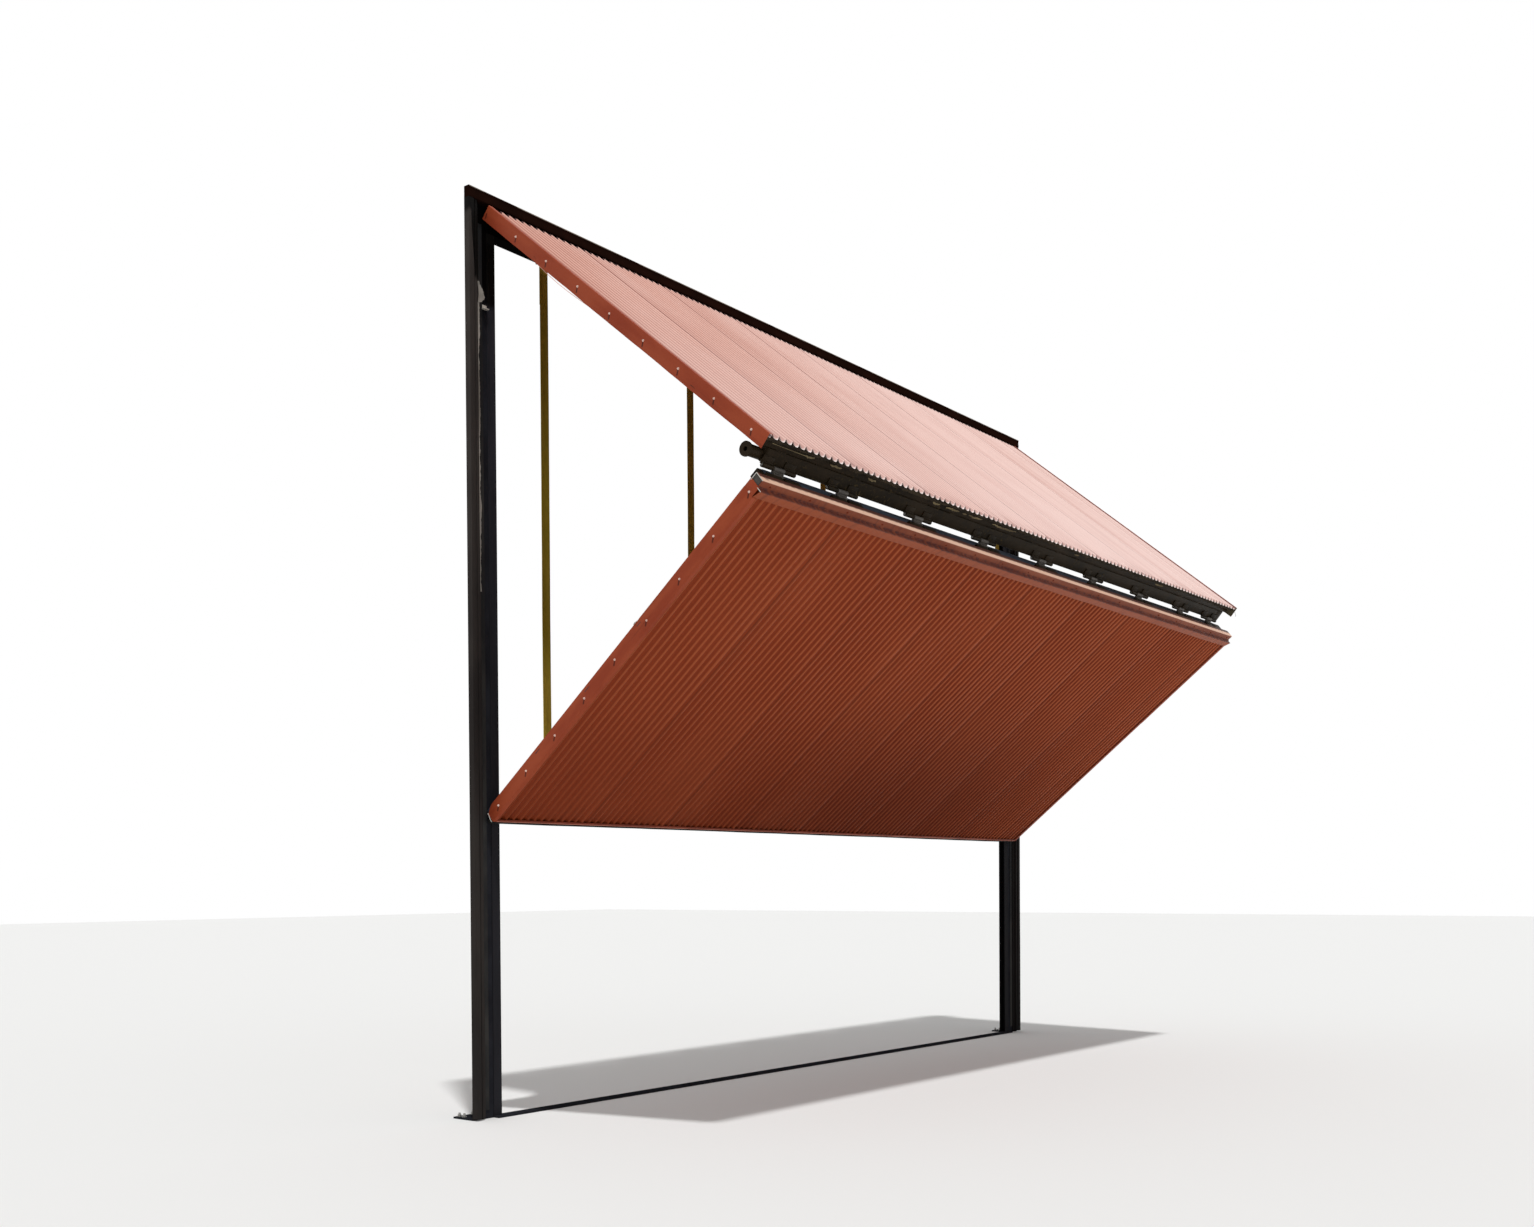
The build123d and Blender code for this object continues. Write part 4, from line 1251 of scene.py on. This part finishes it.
def motorFins():
    k = motorLook
    place, x0 = shaftPlace(), k["x"]
    barrel = place @ Matrix.Translation((0, 0, k["rise"]))
    near, far = x0 + k["finFrom"], x0 + k["finTo"]
    bm = bmesh.new()
    for angle in stepsBetween(-k["finSpread"], k["finSpread"], k["fins"] - 1):
        turned = barrel @ Matrix.Rotation(math.radians(angle), 4, "X")
        tip = k["barrel"] + 0.001 + k["finHeight"]
        addBox(bm, (near, k["barrel"], -0.002), (far, tip, 0.002), turned, 0.0008)
    addBox(bm, (x0 + k["box"][0], 0.06, 0.10), (x0 + k["box"][1], 0.098, 0.18), place, 0.004)
    for x, z in ((x0 + side, z) for side in (-0.055, 0.055) for z in (-0.05, 0.07, 0.2)):
        addRod(bm, (x, 0.0775, z), (x, 0.085, z), 0.008, 6, place)
    made("motorFins", bm, "motorGrey")


for number, x in enumerate(strapStations, 1):
    liftStrap(number, x)
driveBolts()
motorFins()
print("lift done")


# What no piece above replaces keeps its CAD shape and takes the paint of its slot.

carried = {
    "frame_grey": "postGrey", "header_black": "headerBlack", "jamb_grey": "jambGrey", "rubber": "rubber",
    "track_grey": "trackGrey", "leaf_frame": "leafFrame", "sheet_red": "sheetUpper", "trim_red": "trimLower",
    "closure_foam": "foam", "hinge_steel": "hingeSteel", "pin_steel": "pinSteel", "roller_nylon": "rubber",
    "motor_grey": "motorGrey", "strap_yellow": "webbing",
}
slotOf = {item["node"]: item["material_slot"] for item in frame["record"]["subparts"]}
for nodeName, piece in nodes.items():
    for slot in piece.material_slots:
        slot.material = paints[carried[slotOf[nodeName]]]
print("materials done")


# Floor, light and camera.

studioLook = {"floor": (0.84, 0.84, 0.83), "floorHalf": 60, "sky": 0.45, "sun": 1.9,
              "sunFrom": (-0.184, -0.250, 0.950), "sunSize": 2.5}


def ground():
    half = studioLook["floorHalf"]
    grey = bpy.data.materials.new("floor")
    grey.use_nodes = True
    slots = grey.node_tree.nodes["Principled BSDF"].inputs
    plug(slots["Base Color"], (*studioLook["floor"], 1))
    plug(slots["Roughness"], 0.9)
    mesh = bpy.data.meshes.new("floor")
    corners = [(-half, -half, 0), (half, -half, 0), (half, half, 0), (-half, half, 0)]
    mesh.from_pydata(corners, [], [(0, 1, 2, 3)])
    mesh.materials.append(grey)
    floor = bpy.data.objects.new("floor", mesh)
    bpy.context.collection.objects.link(floor)


def daylight():  # a white sky that lights the door less than it shows, and the sun
    k = studioLook
    world = bpy.data.worlds.new("studio")
    bpy.context.scene.world = world
    world.use_nodes = True
    tree = world.node_tree
    sky = tree.nodes["Background"].inputs
    plug(sky["Color"], (1, 1, 1, 1))
    path = addNode(tree, "ShaderNodeLightPath", {}, {}).outputs
    seen = Wire(tree, path["Is Camera Ray"])
    for kind in ("Is Glossy Ray", "Is Transmission Ray"):
        seen = seen.math("ADD", Wire(tree, path[kind]), clamp=True)
    plug(sky["Strength"], seen * (1.0 - k["sky"]) + k["sky"])
    light = bpy.data.lights.new("sun", "SUN")
    light.energy = k["sun"]
    light.angle = math.radians(k["sunSize"])
    lamp = bpy.data.objects.new("sun", light)
    bpy.context.collection.objects.link(lamp)
    lamp.rotation_euler = (-Vector(k["sunFrom"])).to_track_quat("-Z", "Y").to_euler()


viewLook = {"yaw": 51.948, "pitch": -0.857, "roll": -0.358, "lens": 35.628, "shift": (0.00177, 0.19071),
            "place": (-10.690, -7.875, 1.603)}


def camera():
    k = viewLook
    yaw, pitch, roll = [math.radians(k[name]) for name in ("yaw", "pitch", "roll")]
    forward = Vector((math.sin(yaw) * math.cos(pitch), math.cos(yaw) * math.cos(pitch), math.sin(pitch)))
    right = Vector((math.cos(yaw), -math.sin(yaw), 0))
    up = right.cross(forward)
    right, up = math.cos(roll) * right + math.sin(roll) * up, -math.sin(roll) * right + math.cos(roll) * up
    data = bpy.data.cameras.new("camera")
    data.sensor_width = 36
    data.lens = k["lens"]
    data.shift_x, data.shift_y = k["shift"]
    data.clip_start, data.clip_end = 0.1, 200
    view = bpy.data.objects.new("camera", data)
    bpy.context.collection.objects.link(view)
    turn = Matrix((right, up, -forward)).transposed().to_4x4()
    view.matrix_world = Matrix.Translation(k["place"]) @ turn
    bpy.context.scene.camera = view


ground()
daylight()
camera()
bpy.context.scene.view_settings.view_transform = "Standard"
